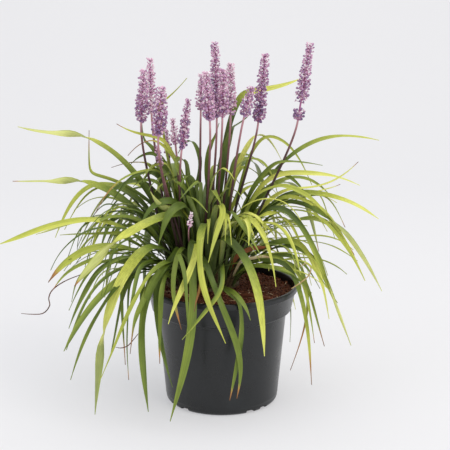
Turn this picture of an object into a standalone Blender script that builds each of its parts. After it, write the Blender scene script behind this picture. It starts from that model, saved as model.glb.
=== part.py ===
"""Potted liriope: a clump of strap leaves and flower spikes growing in a round nursery pot.

Axes: +Z up, the pot stands on z = 0 with its axis on the Z axis, and the front is towards -Y.
An azimuth of 0 degrees is +X, 90 is the back (+Y), 180 is -X and 270 is the front (-Y).
"""
import math

import bmesh
import bpy
from mathutils import Matrix, Vector

MM = 0.001
GAP = 0.0004                     # left between pieces that touch

# ---- Driving dimensions of the pot (m) ----
RIM_RADIUS = 0.095               # outside of the rolled lip
POT_HEIGHT = 0.150
WALL = 0.0017                    # moulded wall
LIP_HEIGHT = 0.007
COLLAR_TOP_RADIUS = 0.0925       # straight band under the lip
COLLAR_FOOT_RADIUS = 0.0875
COLLAR_FOOT = 0.120              # height where the band steps in
BODY_TOP_RADIUS = 0.0810
STEP_FOOT = 0.1155               # height where the tapered body starts
BASE_RADIUS = 0.0705
BASE_ROUND = 0.006               # rounded corner between wall and base
POT_SIDES = 40                   # facets round the pot

# ---- Drain slots in the corner of the base ----
DRAIN_PAIRS = 4
DRAIN_TURN = 40.0         # degrees from +X to the middle of the first pair of slots
DRAIN_SPREAD = 8.5        # degrees from the middle of a pair to each of its slots
DRAIN_WIDTH = 0.013
DRAIN_HEIGHT = 0.0045
DRAIN_INNER_RADIUS = 0.054

# ---- Compost and the crown of leaf bases ----
SOIL_EDGE = 0.1385               # height of the compost at the wall
SOIL_CENTRE = 0.1430
SOIL_FLAT = 0.071                # radius of the level middle of the compost
SOIL_SHOULDER = 0.080            # radius where it has dropped halfway to the wall
CROWN_CENTRE = (-0.024, 0.012)   # the clump stands left of and behind the pot's axis
CROWN_REACH = (0.046, 0.036)     # half its width along X and along Y
CROWN_TOP = 0.160
CROWN_DROP = 0.7                 # share of its height that it loses at its edge
CROWN_RINGS = 5
CROWN_SIDES = 28
ROOT_CLEARANCE = 0.0008          # leaves and stems start this far above the crown

# ---- Leaves ----
BLADE = 0.0008                   # blade thickness
LEAF_STATIONS = 13
TIP_WIDTH = 0.0012
CHANNEL = 0.18                   # depth of the channel along the leaf, in half widths

# ---- Flower stems and spikes ----
STEM_ROOT_RADIUS = 0.0022
STEM_TOP_RADIUS = 0.0016
STEM_POINTS = 8
SPIKE_POINTS = 7

# Each leaf: where its root stands on the crown (x, y), the top of its arch (x, y, z), its tip
# (x, y, z), the blade's width, and how many degrees the blade rolls over towards its tip. Millimetres.
LEAVES = [
    ((-44, 7), (-200, 30, 335), (-255, 40, 341), 9, 10),
    ((-57, 7), (-190, 2, 281), (-255, -8, 281), 9, -12),
    ((-61, -5), (-184, -26, 243), (-270, -38, 209), 9, 14),
    ((-54, 26), (-155, 46, 268), (-212, 34, 200), 10, -10),
    ((-58, -10), (-145, -42, 208), (-208, -58, 167), 9, 12),
    ((-32, -4), (-52, -30, 246), (-170, -110, 177), 12, -8),
    ((-50, -16), (-78, -50, 190), (-186, -100, 95), 11, 16),
    ((-42, -18), (-84, -60, 212), (-150, -112, 20), 10, -14),
    ((-34, -21), (-62, -62, 192), (-86, -118, 26), 9, 20),
    ((-26, -17), (-32, -50, 218), (-60, -126, 17), 10, 12),
    ((-18, -22), (-24, -58, 198), (18, -124, 45), 9, -16),
    ((-11, -17), (2, -45, 220), (50, -124, 97), 11, 8),
    ((5, -10), (20, -34, 244), (64, -86, 170), 9, -8),
    ((14, -8), (58, -46, 194), (110, -62, 38), 8, 18),
    ((17, 0), (70, -30, 254), (156, -72, 92), 9, -12),
    ((13, 11), (82, -8, 258), (196, -40, 151), 9, 10),
    ((16, 15), (108, 6, 274), (194, -2, 233), 10, -10),
    ((2, 14), (150, 26, 332), (195, 22, 327), 9, 12),
    ((6, 23), (60, 40, 330), (113, 34, 268), 12, -14),
    ((-12, 27), (34, 54, 384), (102, 70, 399), 11, 10),
    ((8, 33), (78, 88, 262), (134, 156, 150), 10, -12),
    ((-10, 37), (30, 96, 290), (62, 186, 196), 10, 14),
    ((-24, 44), (-20, 108, 240), (-40, 185, 118), 10, -10),
    ((-42, 38), (-66, 98, 286), (-92, 182, 188), 10, 12),
    ((-56, 34), (-115, 84, 262), (-190, 116, 176), 10, -14),
]

# Each flower stalk: where its root stands on the crown (x, y), where the spike of flowers starts
# (x, y, z), where the spike ends (x, y, z), and the spike's greatest thickness. Millimetres.
STALKS = [
    ((-64, 1), (-97, -10, 354), (-93, -10, 414), 16),
    ((-61, 17), (-86, 17, 361), (-87, 17, 426), 14),
    ((-48, -7), (-75, -34, 341), (-70, -36, 397), 18),
    ((-52, 1), (-48, -20, 322), (-40, -20, 380), 13),
    ((-47, 16), (-57, 18, 322), (-60, 20, 351), 11),
    ((-39, -11), (-73, -22, 301), (-77, -24, 324), 10),
    ((-44, 29), (-66, 36, 302), (-69, 38, 334), 11),
    ((-28, 28), (-26, 37, 362), (-25, 38, 404), 14),
    ((-18, 8), (-6, 6, 357), (-8, 6, 446), 16),
    ((-24, -7), (-14, -30, 358), (-18, -32, 414), 16),
    ((-10, -5), (1, -14, 360), (2, -14, 415), 16),
    ((-5, 21), (11, 23, 359), (11, 23, 419), 15),
    ((-4, 7), (45, 18, 350), (53, 20, 431), 16),
    ((0, -9), (27, -20, 362), (35, -22, 395), 15),
    ((10, -4), (92, -8, 356), (105, -10, 446), 16),
    ((-32, -14), (-39, -52, 232), (-36, -56, 250), 7),
]


def clear_scene():
    for obj in list(bpy.data.objects):
        bpy.data.objects.remove(obj, do_unlink=True)


def new_collection(name):
    collection = bpy.data.collections.new(name)
    bpy.context.scene.collection.children.link(collection)
    return collection


def plain_material(name, colour, roughness, metallic=0.0):
    material = bpy.data.materials.new(name)
    material.use_nodes = True
    shader = material.node_tree.nodes["Principled BSDF"]
    shader.inputs["Base Color"].default_value = (*colour, 1.0)
    shader.inputs["Roughness"].default_value = roughness
    shader.inputs["Metallic"].default_value = metallic
    return material


def add_object(name, data, collection, material=None):
    obj = bpy.data.objects.new(name, data)
    collection.objects.link(obj)
    if material:
        data.materials.append(material)
    return obj


def shade(mesh, angle=40):
    mesh.shade_smooth()
    mesh.set_sharp_from_angle(angle=math.radians(angle))


def turned(name, profile, sides, collection, material):
    """Turn a profile of (radius, height) points, from the axis round its outer side, about Z."""
    mesh = bpy.data.meshes.new(name)
    edges = [(i, i + 1) for i in range(len(profile) - 1)]
    mesh.from_pydata([(radius, 0.0, height) for radius, height in profile], edges, [])
    obj = add_object(name, mesh, collection, material)
    screw = obj.modifiers.new("turn", "SCREW")
    screw.axis = "Z"
    screw.angle = math.tau
    screw.steps = sides
    screw.render_steps = sides
    screw.use_merge_vertices = True
    screw.merge_threshold = 0.0001
    return obj


def inner_radius(height):
    """Inside radius of the pot wall at a height."""
    if height <= STEP_FOOT:
        share = height / STEP_FOOT
        return BASE_RADIUS - WALL + (BODY_TOP_RADIUS - BASE_RADIUS) * share
    share = (height - COLLAR_FOOT) / (POT_HEIGHT - LIP_HEIGHT - COLLAR_FOOT)
    return COLLAR_FOOT_RADIUS - WALL + (COLLAR_TOP_RADIUS - COLLAR_FOOT_RADIUS) * max(share, 0.0)


def pot_profile():
    lip_foot = POT_HEIGHT - LIP_HEIGHT
    rim_inside = COLLAR_TOP_RADIUS - WALL
    inside = [
        (0.0, WALL),
        (inner_radius(0) - BASE_ROUND, WALL),
        (inner_radius(0) - 0.3 * BASE_ROUND, WALL + 0.3 * BASE_ROUND),
        (inner_radius(BASE_ROUND), WALL + BASE_ROUND),
        (inner_radius(STEP_FOOT), STEP_FOOT + WALL),
        (inner_radius(COLLAR_FOOT), COLLAR_FOOT + WALL),
        (rim_inside, lip_foot),
        (rim_inside, POT_HEIGHT - 0.001),
        (rim_inside + 0.001, POT_HEIGHT),
    ]
    outside = [
        (RIM_RADIUS - 0.0012, POT_HEIGHT),
        (RIM_RADIUS, POT_HEIGHT - 0.0012),
        (RIM_RADIUS, lip_foot + 0.0006),
        (RIM_RADIUS - 0.0008, lip_foot),
        (COLLAR_TOP_RADIUS, lip_foot),
        (COLLAR_FOOT_RADIUS, COLLAR_FOOT + 0.001),
        (COLLAR_FOOT_RADIUS - 0.0015, COLLAR_FOOT - 0.0015),
        (BODY_TOP_RADIUS + 0.0015, STEP_FOOT + 0.002),
        (BODY_TOP_RADIUS, STEP_FOOT),
        (BASE_RADIUS + 0.0003, BASE_ROUND),
        (BASE_RADIUS - 0.3 * BASE_ROUND, 0.3 * BASE_ROUND),
        (BASE_RADIUS - BASE_ROUND, 0.0),
        (0.0, 0.0),
    ]
    return inside + outside


def cut(obj, cutter):
    """Cut an object with a hidden cutter."""
    cutter.hide_render = True
    cutter.display_type = "WIRE"
    boolean = obj.modifiers.new("cut_" + cutter.name, "BOOLEAN")
    boolean.operation = "DIFFERENCE"
    boolean.solver = "EXACT"
    boolean.object = cutter


def make_pot(parts, cutters):
    """One moulded shell with a rolled lip, a collar, a tapered body and drain slots at its base."""
    black_plastic = plain_material("black_plastic", (0.03, 0.033, 0.037), 0.38)
    pot = turned("pot", pot_profile(), POT_SIDES, parts, black_plastic)
    drains = bmesh.new()
    reach = BASE_RADIUS + 0.01 - DRAIN_INNER_RADIUS
    centre = DRAIN_INNER_RADIUS + reach / 2
    middles = [DRAIN_TURN + 360 * index / DRAIN_PAIRS for index in range(DRAIN_PAIRS)]
    for angle in [middle + side * DRAIN_SPREAD for middle in middles for side in (-1, 1)]:
        turn = Matrix.Rotation(math.radians(angle), 4, "Z")
        place = turn @ Matrix.Translation((centre, 0.0, DRAIN_HEIGHT / 2 - 0.002))
        size = Matrix.Diagonal((reach, DRAIN_WIDTH, DRAIN_HEIGHT + 0.004, 1.0))
        bmesh.ops.create_cube(drains, size=1.0, matrix=place @ size)
    mesh = bpy.data.meshes.new("drain_slots")
    drains.to_mesh(mesh)
    drains.free()
    cut(pot, add_object("drain_slots", mesh, cutters))


def make_soil(parts):
    """The root ball and compost: one plug that fills the pot to just under the rim."""
    floor = WALL + GAP
    profile = [
        (0.0, SOIL_CENTRE),
        (SOIL_FLAT, SOIL_CENTRE),
        (SOIL_SHOULDER, (SOIL_CENTRE + SOIL_EDGE) / 2),
        (inner_radius(SOIL_EDGE) - GAP, SOIL_EDGE),
        (inner_radius(COLLAR_FOOT) - GAP - 0.0002, COLLAR_FOOT + WALL + GAP),
        (inner_radius(STEP_FOOT) - GAP, STEP_FOOT + WALL + GAP),
        (inner_radius(BASE_ROUND) - GAP - 0.0002, WALL + BASE_ROUND + GAP),
        (inner_radius(0) - BASE_ROUND - GAP, floor),
        (0.0, floor),
    ]
    compost = plain_material("compost", (0.045, 0.02, 0.012), 0.95)
    turned("soil", profile, POT_SIDES, parts, compost)


def crown_height(x, y):
    """Height of the crown's low dome over a point."""
    across = (x - CROWN_CENTRE[0]) / CROWN_REACH[0]
    along = (y - CROWN_CENTRE[1]) / CROWN_REACH[1]
    floor = SOIL_CENTRE + GAP
    return CROWN_TOP - (CROWN_TOP - floor) * CROWN_DROP * min(across ** 2 + along ** 2, 1.0)


def make_crown(parts):
    """The crown: the packed leaf bases and short rhizomes that stand on the compost."""
    reach, stretch = CROWN_REACH
    profile = []
    for ring in range(CROWN_RINGS + 1):
        out = reach * ring / CROWN_RINGS
        profile.append((out, crown_height(CROWN_CENTRE[0] + out, CROWN_CENTRE[1])))
    profile += [(reach, SOIL_CENTRE + GAP), (0.0, SOIL_CENTRE + GAP)]
    leaf_bases = plain_material("leaf_bases", (0.18, 0.14, 0.06), 0.8)
    crown = turned("crown", profile, CROWN_SIDES, parts, leaf_bases)
    crown.location = (*CROWN_CENTRE, 0.0)
    crown.scale = (1.0, stretch / reach, 1.0)


def root_on_crown(place, lift):
    """A point on the crown's dome, raised clear of it."""
    x, y = place[0] * MM, place[1] * MM
    return Vector((x, y, crown_height(x, y) + lift))


def bezier(p0, p1, p2, p3, t):
    s = 1.0 - t
    return p0 * s ** 3 + p1 * (3 * s * s * t) + p2 * (3 * s * t * t) + p3 * t ** 3


def leaf_midline(root, crest, tip):
    """Points along a leaf: it rises from the crown, arches over its crest and runs to its tip."""
    root = root_on_crown(root, ROOT_CLEARANCE)
    crest = Vector(crest) * MM
    tip = Vector(tip) * MM
    rise = crest - root
    fall = tip - crest
    level = Vector((tip.x - root.x, tip.y - root.y, 0.0)).normalized()
    lift = root + Vector((0.2 * rise.x, 0.2 * rise.y, 0.55 * rise.z))
    first = (root, lift, crest - level * (0.5 * rise.xy.length), crest)
    drop = tip - Vector((0.22 * fall.x, 0.22 * fall.y, 0.5 * fall.z))
    second = (crest, crest + level * (0.45 * fall.xy.length), drop, tip)
    share = rise.length / (rise.length + fall.length)
    points = []
    for station in range(LEAF_STATIONS):
        t = station / (LEAF_STATIONS - 1)
        if t < share:
            points.append(bezier(*first, t / share))
        else:
            points.append(bezier(*second, (t - share) / (1.0 - share)))
    return points


def blade_width(width, t):
    """A strap leaf: narrow at its base, full width along its middle and drawn out to a point."""
    base = 0.55 + 0.45 * min(t / 0.3, 1.0)
    taper = 1.0 - max((t - 0.55) / 0.45, 0.0) ** 2
    return max(width * MM * base * taper, TIP_WIDTH)


def make_leaf(name, plan, parts, material):
    """One leaf: an open strip with a shallow channel along it, thickened with Solidify."""
    root, crest, tip, width, roll = plan
    points = leaf_midline(root, crest, tip)
    outward = (points[-1] - points[0]).xy.normalized()
    across = Vector((-outward.y, outward.x, 0.0))
    strip = bmesh.new()
    rows = []
    for index, point in enumerate(points):
        t = index / (len(points) - 1)
        ahead = points[min(index + 1, len(points) - 1)] - points[max(index - 1, 0)]
        turn = Matrix.Rotation(math.radians(roll * t), 3, ahead.normalized())
        side = (turn @ (across - ahead * (across.dot(ahead) / ahead.length_squared))).normalized()
        half = side * (blade_width(width, t) / 2)
        sink = ahead.normalized().cross(side) * (CHANNEL * half.length)
        corners = (point - half, point + sink, point + half)
        rows.append([strip.verts.new(corner) for corner in corners])
    for low, high in zip(rows, rows[1:]):
        strip.faces.new((low[0], low[1], high[1], high[0]))
        strip.faces.new((low[1], low[2], high[2], high[1]))
    mesh = bpy.data.meshes.new(name)
    strip.to_mesh(mesh)
    strip.free()
    shade(mesh, 60)
    leaf = add_object(name, mesh, parts, material)
    solidify = leaf.modifiers.new("blade", "SOLIDIFY")
    solidify.thickness = BLADE
    solidify.offset = 0.0


def tube(name, points, radii, parts, material):
    """A round stalk that changes thickness along its length."""
    curve = bpy.data.curves.new(name, "CURVE")
    curve.dimensions = "3D"
    curve.bevel_depth = 1.0
    curve.bevel_resolution = 2
    curve.use_fill_caps = True
    spline = curve.splines.new("POLY")
    spline.points.add(len(points) - 1)
    for slot, point, radius in zip(spline.points, points, radii):
        slot.co = (*point, 1.0)
        slot.radius = radius
    return add_object(name, curve, parts, material)


def spike_radius(t, thickness):
    """A flower spike: quickly full, then drawn out to a blunt tip."""
    swell = 0.55 + 0.45 * min(t / 0.15, 1.0)
    taper = 1.0 - 0.5 * max((t - 0.3) / 0.7, 0.0) ** 1.4
    return thickness * MM / 2 * swell * taper


def make_stalk(number, plan, parts, stem_material, flower_material):
    """A flower stalk: the bare stem, and the spike of flowers that stands on its end."""
    root, base, tip, thickness = plan
    root = root_on_crown(root, STEM_ROOT_RADIUS + ROOT_CLEARANCE)
    base = Vector(base) * MM
    tip = Vector(tip) * MM
    lean = (tip - base).normalized()
    height = base.z - root.z
    pull = root + Vector((0.28 * (base.x - root.x), 0.28 * (base.y - root.y), 0.38 * height))
    hold = base - lean * (0.2 * height)
    top = base - lean * (1.5 * GAP)
    stem = [bezier(root, pull, hold, top, i / (STEM_POINTS - 1)) for i in range(STEM_POINTS)]
    thin = STEM_TOP_RADIUS - STEM_ROOT_RADIUS
    radii = [STEM_ROOT_RADIUS + thin * i / (STEM_POINTS - 1) for i in range(STEM_POINTS)]
    tube(f"flower_stem_{number:02d}", stem, radii, parts, stem_material)
    steps = [i / (SPIKE_POINTS - 1) for i in range(SPIKE_POINTS)]
    spike = [base.lerp(tip, t) for t in steps]
    swell = [spike_radius(t, thickness) for t in steps]
    tube(f"flower_spike_{number:02d}", spike, swell, parts, flower_material)


def main():
    clear_scene()
    parts = new_collection("potted_liriope")
    cutters = new_collection("cutters")
    make_pot(parts, cutters)
    make_soil(parts)
    make_crown(parts)
    leaf_green = plain_material("leaf_green", (0.2, 0.32, 0.05), 0.45)
    for number, plan in enumerate(LEAVES, start=1):
        make_leaf(f"leaf_{number:02d}", plan, parts, leaf_green)
    stem_purple = plain_material("stem_purple", (0.12, 0.05, 0.06), 0.5)
    flower_lilac = plain_material("flower_lilac", (0.33, 0.2, 0.5), 0.6)
    for number, plan in enumerate(STALKS, start=1):
        make_stalk(number, plan, parts, stem_purple, flower_lilac)


main()
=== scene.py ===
# %% [markdown]
# # A potted liriope in flower
#
# Liriope, or lilyturf, is a clump of strap leaves with spikes of small lilac flowers. This lesson dresses a
# plain construction model of one: the model says where the pot, the compost, the crown of leaf bases, the
# outer leaves and the flower stalks are, and each cell below makes one of them as it really looks.
# Everything is in metres, +Z is up and the front of the plant faces -Y.

# %% Load the construction model
import math
import random

import bmesh
import bpy
from mathutils import Matrix, Vector, kdtree, noise


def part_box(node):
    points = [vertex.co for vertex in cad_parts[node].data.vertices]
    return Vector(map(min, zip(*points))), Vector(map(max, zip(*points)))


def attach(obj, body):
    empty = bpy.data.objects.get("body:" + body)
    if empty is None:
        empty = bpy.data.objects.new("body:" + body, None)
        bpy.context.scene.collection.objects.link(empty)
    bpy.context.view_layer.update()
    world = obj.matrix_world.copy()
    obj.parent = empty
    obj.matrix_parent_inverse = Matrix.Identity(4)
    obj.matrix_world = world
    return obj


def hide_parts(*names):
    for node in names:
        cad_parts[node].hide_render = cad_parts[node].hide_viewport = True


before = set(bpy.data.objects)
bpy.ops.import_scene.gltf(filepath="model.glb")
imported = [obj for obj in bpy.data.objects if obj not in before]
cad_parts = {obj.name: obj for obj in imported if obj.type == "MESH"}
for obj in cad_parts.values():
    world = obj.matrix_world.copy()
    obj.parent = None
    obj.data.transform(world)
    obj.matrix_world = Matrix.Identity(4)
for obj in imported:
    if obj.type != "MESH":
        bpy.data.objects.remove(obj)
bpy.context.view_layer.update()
MM = 0.001
noise.seed_set(7)                # noise_vector is seeded by the clock until it is given a seed
print("construction model:", len(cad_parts), "nodes")


# %% [markdown]
# ## Colour and nodes
#
# Colours are written as sRGB hex, the way a swatch book gives them, and one function turns them into the
# linear values that shaders use. A second small function adds one node, sets it up, fills or links its
# inputs and hands back the one output that is wanted, so a material reads from top to bottom like a recipe.
# A pattern's scale is worked out from the real size of its cells.

# %% Colour and node helpers
def colour(code):
    """Linear RGBA of an sRGB hex colour."""
    parts = [int(code[i:i + 2], 16) / 255 for i in (1, 3, 5)]
    linear = [c / 12.92 if c <= 0.04045 else ((c + 0.055) / 1.055) ** 2.4 for c in parts]
    return (*linear, 1.0)


def fill(tree, node, inputs):
    """Give each named input of a node a value or a link."""
    for name, value in inputs.items():
        if isinstance(value, bpy.types.NodeSocket):
            tree.links.new(value, node.inputs[name])
        else:
            node.inputs[name].default_value = value


def add_node(tree, kind, output, inputs=None, stops=None, **settings):
    """Add a node, set its options and colour stops, fill its inputs and return one output."""
    made = tree.nodes.new(kind)
    for option, value in settings.items():
        setattr(made, option, value)
    if stops:
        for _ in stops[2:]:
            made.color_ramp.elements.new(1.0)
        for element, (position, code) in zip(made.color_ramp.elements, stops):
            element.position, element.color = position, colour(code)
    fill(tree, made, inputs or {})
    return made.outputs[output]


def new_material(name):
    """A material with a bare Principled shader, and its node tree."""
    material = bpy.data.materials.new(name)
    material.use_nodes = True
    return material, material.node_tree


def shade(material, inputs):
    """Fill or link the inputs of a material's Principled shader."""
    fill(material.node_tree, material.node_tree.nodes["Principled BSDF"], inputs)
    return material


def every(size):
    """The scale of a pattern whose cells measure so many millimetres."""
    return 1 / (size * MM)


print("moulded black plastic, linear:", [round(c, 3) for c in colour("#2c2f33")[:3]])


# %% [markdown]
# ## Room, light and camera
#
# A plant catalogue shows its plants on a seamless pale sweep under big soft lights, so that the only dark
# things are the pot and the shade inside the leaves. One bent sheet gives floor and background without a
# join, and it is given a faint glow of its own, painted light that lifts the shadow round the pot and keeps
# it pale. The lights are large, since a big light gives a pot a long soft highlight and a leaf a soft sheen.

# %% Sweep
def new_object(name, data):
    """An object in the scene."""
    made = bpy.data.objects.new(name, data)
    bpy.context.scene.collection.objects.link(made)
    return made


def make_sweep():
    """A floor that bends up into a background behind the plant."""
    front, turn, back, top, half_width, steps = -6.0, 1.3, 2.1, 3.4, 6.0, 12
    bend = back - turn
    outline = [(front, 0.0), (turn, 0.0)]
    for step in range(1, steps + 1):
        angle = math.radians(90 * step / steps)
        outline.append((turn + bend * math.sin(angle), bend * (1 - math.cos(angle))))
    outline.append((back, top))
    points = [(side * half_width, y, z) for y, z in outline for side in (-1, 1)]
    faces = [(2 * i, 2 * i + 1, 2 * i + 3, 2 * i + 2) for i in range(len(outline) - 1)]
    mesh = bpy.data.meshes.new("sweep")
    mesh.from_pydata(points, [], faces)
    mesh.shade_smooth()
    # matt paper with a faint glow: no highlight, and a shadow that fades out quickly;
    # the glow is painted light that lifts the shade round the pot
    paper, _ = new_material("seamless_paper_with_painted_glow")
    mesh.materials.append(shade(paper, {
        "Base Color": colour("#b0b0b1"), "Roughness": 0.9,
        "Emission Color": colour("#fbfbfe"), "Emission Strength": 0.395}))
    sweep = new_object("sweep", mesh)


make_sweep()
print("sweep: floor at z = 0")


# %% Lights
def add_area(name, place, size, power, tint):
    """A square soft box that points at the middle of the plant."""
    light = bpy.data.lights.new(name, "AREA")
    light.shape = "SQUARE"
    light.size = size
    light.energy = power
    light.color = colour(tint)[:3]
    lamp = new_object(name, light)
    lamp.location = place
    lamp.rotation_euler = (PLANT_MIDDLE - Vector(place)).to_track_quat("-Z", "Y").to_euler()


PLANT_MIDDLE = Vector((0.0, 0.0, 0.22))
world = bpy.data.worlds.new("studio")
world.use_nodes = True
fill(world.node_tree, world.node_tree.nodes["Background"], {"Color": colour("#f3f3f5"), "Strength": 0.78})
bpy.context.scene.world = world
bpy.context.scene.view_settings.view_transform = "Standard"
add_area("key_from_the_right", (1.5, -1.3, 1.9), 1.4, 24.0, "#fffaf2")
add_area("fill_from_the_left", (-1.8, -1.1, 1.2), 1.6, 8.0, "#eef3ff")
add_area("top", (0.0, 0.3, 2.4), 2.4, 16.0, "#ffffff")
print("three soft boxes and a pale sky")


# %% Camera
CAMERA_PLACE = (0.0041, -1.371, 0.546)
CAMERA_PITCH = 13.2              # degrees below the horizon
lens = bpy.data.cameras.new("camera")
lens.lens = 90.9
lens.sensor_width = 36.0
camera = new_object("camera", lens)
camera.location = CAMERA_PLACE
camera.rotation_euler = (math.radians(90 - CAMERA_PITCH), 0.0, 0.0)
bpy.context.scene.camera = camera
print("camera", CAMERA_PLACE, "looking", CAMERA_PITCH, "degrees down")


# %% [markdown]
# ## Mesh helpers
#
# Leaves, stems and buds all become one mesh each, made from lists of points and faces. Nearly all of them
# are rows of rings, so one function joins two rings and another closes a whole row. A mesh also carries
# numbers of its own, one for each point: how far across a leaf the point is, how yellow the leaf is there.
# Materials read those numbers, so one leaf material can be dark at the root and lime at the tip.

# %% Faces between rings
def polar(radius, angle):
    """A place on a circle about the origin."""
    return radius * math.cos(angle), radius * math.sin(angle)


def band(near, far, sides, over=False):
    """Quads between two rings that start at points near and far; over turns them over."""
    quads = []
    for k in range(sides):
        after = (k + 1) % sides
        quad = (near + k, near + after, far + after, far + k)
        quads.append(quad[:1] + quad[:0:-1] if over else quad)
    return quads


def fan(pole, ring, sides, over=False):
    """Triangles between a point and the ring round it."""
    made = []
    for k in range(sides):
        here, after = ring + k, ring + (k + 1) % sides
        made.append((pole, after, here) if over else (pole, here, after))
    return made


def closed_row(rings, sides):
    """Faces through a row of rings, with a cap at each end."""
    faces = [face for ring in range(rings - 1) for face in band(ring * sides, (ring + 1) * sides, sides)]
    faces.append(tuple(range(sides - 1, -1, -1)))
    faces.append(tuple(range((rings - 1) * sides, rings * sides)))
    return faces


def dome_faces(rings, sides):
    """Faces of a pole, point 0, and the rings that widen from it."""
    faces = fan(0, 1, sides)
    for ring in range(rings - 1):
        faces += band(1 + ring * sides, 1 + (ring + 1) * sides, sides, over=True)
    return faces


print("a ring of four:", band(0, 4, 4))


# %% Shapes and pieces
def turned(profile, sides):
    """Points and faces of a closed profile of (radius, height) turned about Z, with poles on the axis."""
    points, rings = [], []
    for radius, height in profile:
        count = 1 if radius == 0.0 else sides
        rings.append((len(points), count))
        points += [(*polar(radius, math.tau * step / sides), height) for step in range(count)]
    faces = []
    for (upper, upper_count), (lower, lower_count) in zip(rings, rings[1:]):
        if upper_count == 1:
            faces += fan(upper, lower, sides)
        elif lower_count == 1:
            faces += fan(lower, upper, sides, over=True)
        else:
            faces += band(upper, lower, sides, over=True)
    return points, faces


def tube(path, radii, sides, flat=1.0, turn=0.0):
    """Points and faces of a closed tube along a path; flat squeezes its section."""
    points = []
    for i, point in enumerate(path):
        tangent = (path[min(i + 1, len(path) - 1)] - path[max(i - 1, 0)]).normalized()
        side = tangent.cross(Vector((math.cos(turn), math.sin(turn), 0.02))).normalized()
        front = tangent.cross(side)
        for k in range(sides):
            a, b = polar(radii[i], math.tau * k / sides)
            points.append(point + side * a + front * (b * flat))
    return points, closed_row(len(path), sides)


def joined(parts):
    """Many (points, faces) as one."""
    points, faces = [], []
    for more_points, more_faces in parts:
        faces += [tuple(len(points) + i for i in face) for face in more_faces]
        points += more_points
    return points, faces


def new_piece(name, shape, material, marks=None, smooth_angle=None):
    """A mesh object with per-point numbers, riding on the construction model's one body."""
    points, faces = shape
    mesh = bpy.data.meshes.new(name)
    mesh.from_pydata([tuple(p) for p in points], [], faces)
    for key, values in (marks or {}).items():
        attribute = mesh.attributes.new(key, "FLOAT", "POINT")
        attribute.data.foreach_set("value", values)
    mesh.shade_smooth()
    if smooth_angle:
        mesh.set_sharp_from_angle(angle=math.radians(smooth_angle))
    mesh.materials.append(material)
    piece = new_object(name, mesh)
    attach(piece, "root")
    return piece


print("shapes: turned, tube, joined")


# %% [markdown]
# ## The pot: injection-moulded polypropylene
#
# A nursery pot is one thin moulding. Its wall tapers so that pots nest, a wider collar carries a rolled
# lip, and slots through the corner of the base let water out. It is a turned shape, so the profile is drawn
# once with rounded corners and turned about Z, and the slots are cut with boxes. Recycled polypropylene is
# nearly black, with the satin of a polished mould and faint rings where the mould and the cooling plastic
# left them.

# %% Pot plastic
def make_pot_plastic():
    """Near-black satin: its highlights are long and soft, and they waver where the gloss is uneven."""
    material, tree = new_material("moulded_polypropylene")
    place = add_node(tree, "ShaderNodeNewGeometry", "Position")
    blotch = add_node(tree, "ShaderNodeTexNoise", "Fac", {
        "Vector": place, "Scale": every(26.3), "Detail": 3.0})
    # rings: long round the pot and a few millimetres high
    level = add_node(tree, "ShaderNodeMapping", "Vector", {
        "Vector": place, "Scale": (every(167), every(167), every(2.38))})
    rings = add_node(tree, "ShaderNodeTexNoise", "Fac", {"Vector": level, "Scale": 1.0})
    tone = add_node(tree, "ShaderNodeValToRGB", "Color", {"Fac": blotch}, [
        (0.3, "#101314"), (0.55, "#15181a"), (0.8, "#1c2022")])
    gloss = add_node(tree, "ShaderNodeMapRange", "Result", {
        "Value": blotch, "From Min": 0.3, "From Max": 0.7, "To Min": 0.24, "To Max": 0.36})
    bump = add_node(tree, "ShaderNodeBump", "Normal", {
        "Height": rings, "Strength": 0.12, "Distance": 0.4 * MM})
    return shade(material, {"Base Color": tone, "Roughness": gloss, "Normal": bump, "IOR": 1.49})


pot_plastic = make_pot_plastic()
print("pot plastic: IOR 1.49, satin")


# %% Pot profile
RIM, _, POT_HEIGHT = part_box("pot")[1]    # outer radius of the lip, and its height above the floor
WALL = 1.7 * MM
LIP = 7 * MM                             # height of the lip
COLLAR_TOP, COLLAR_FOOT = 92.5 * MM, 87.5 * MM
BODY_TOP, BASE = 81.0 * MM, 70.5 * MM
COLLAR_Z, STEP_Z = 120 * MM, 115.5 * MM


def arc(centre, radius, start, end, steps):
    """Points of an arc in the (radius, height) plane, angles in degrees."""
    turns = [polar(radius, math.radians(start + (end - start) * step / steps)) for step in range(steps + 1)]
    return [(centre[0] + a, centre[1] + b) for a, b in turns]


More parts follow.
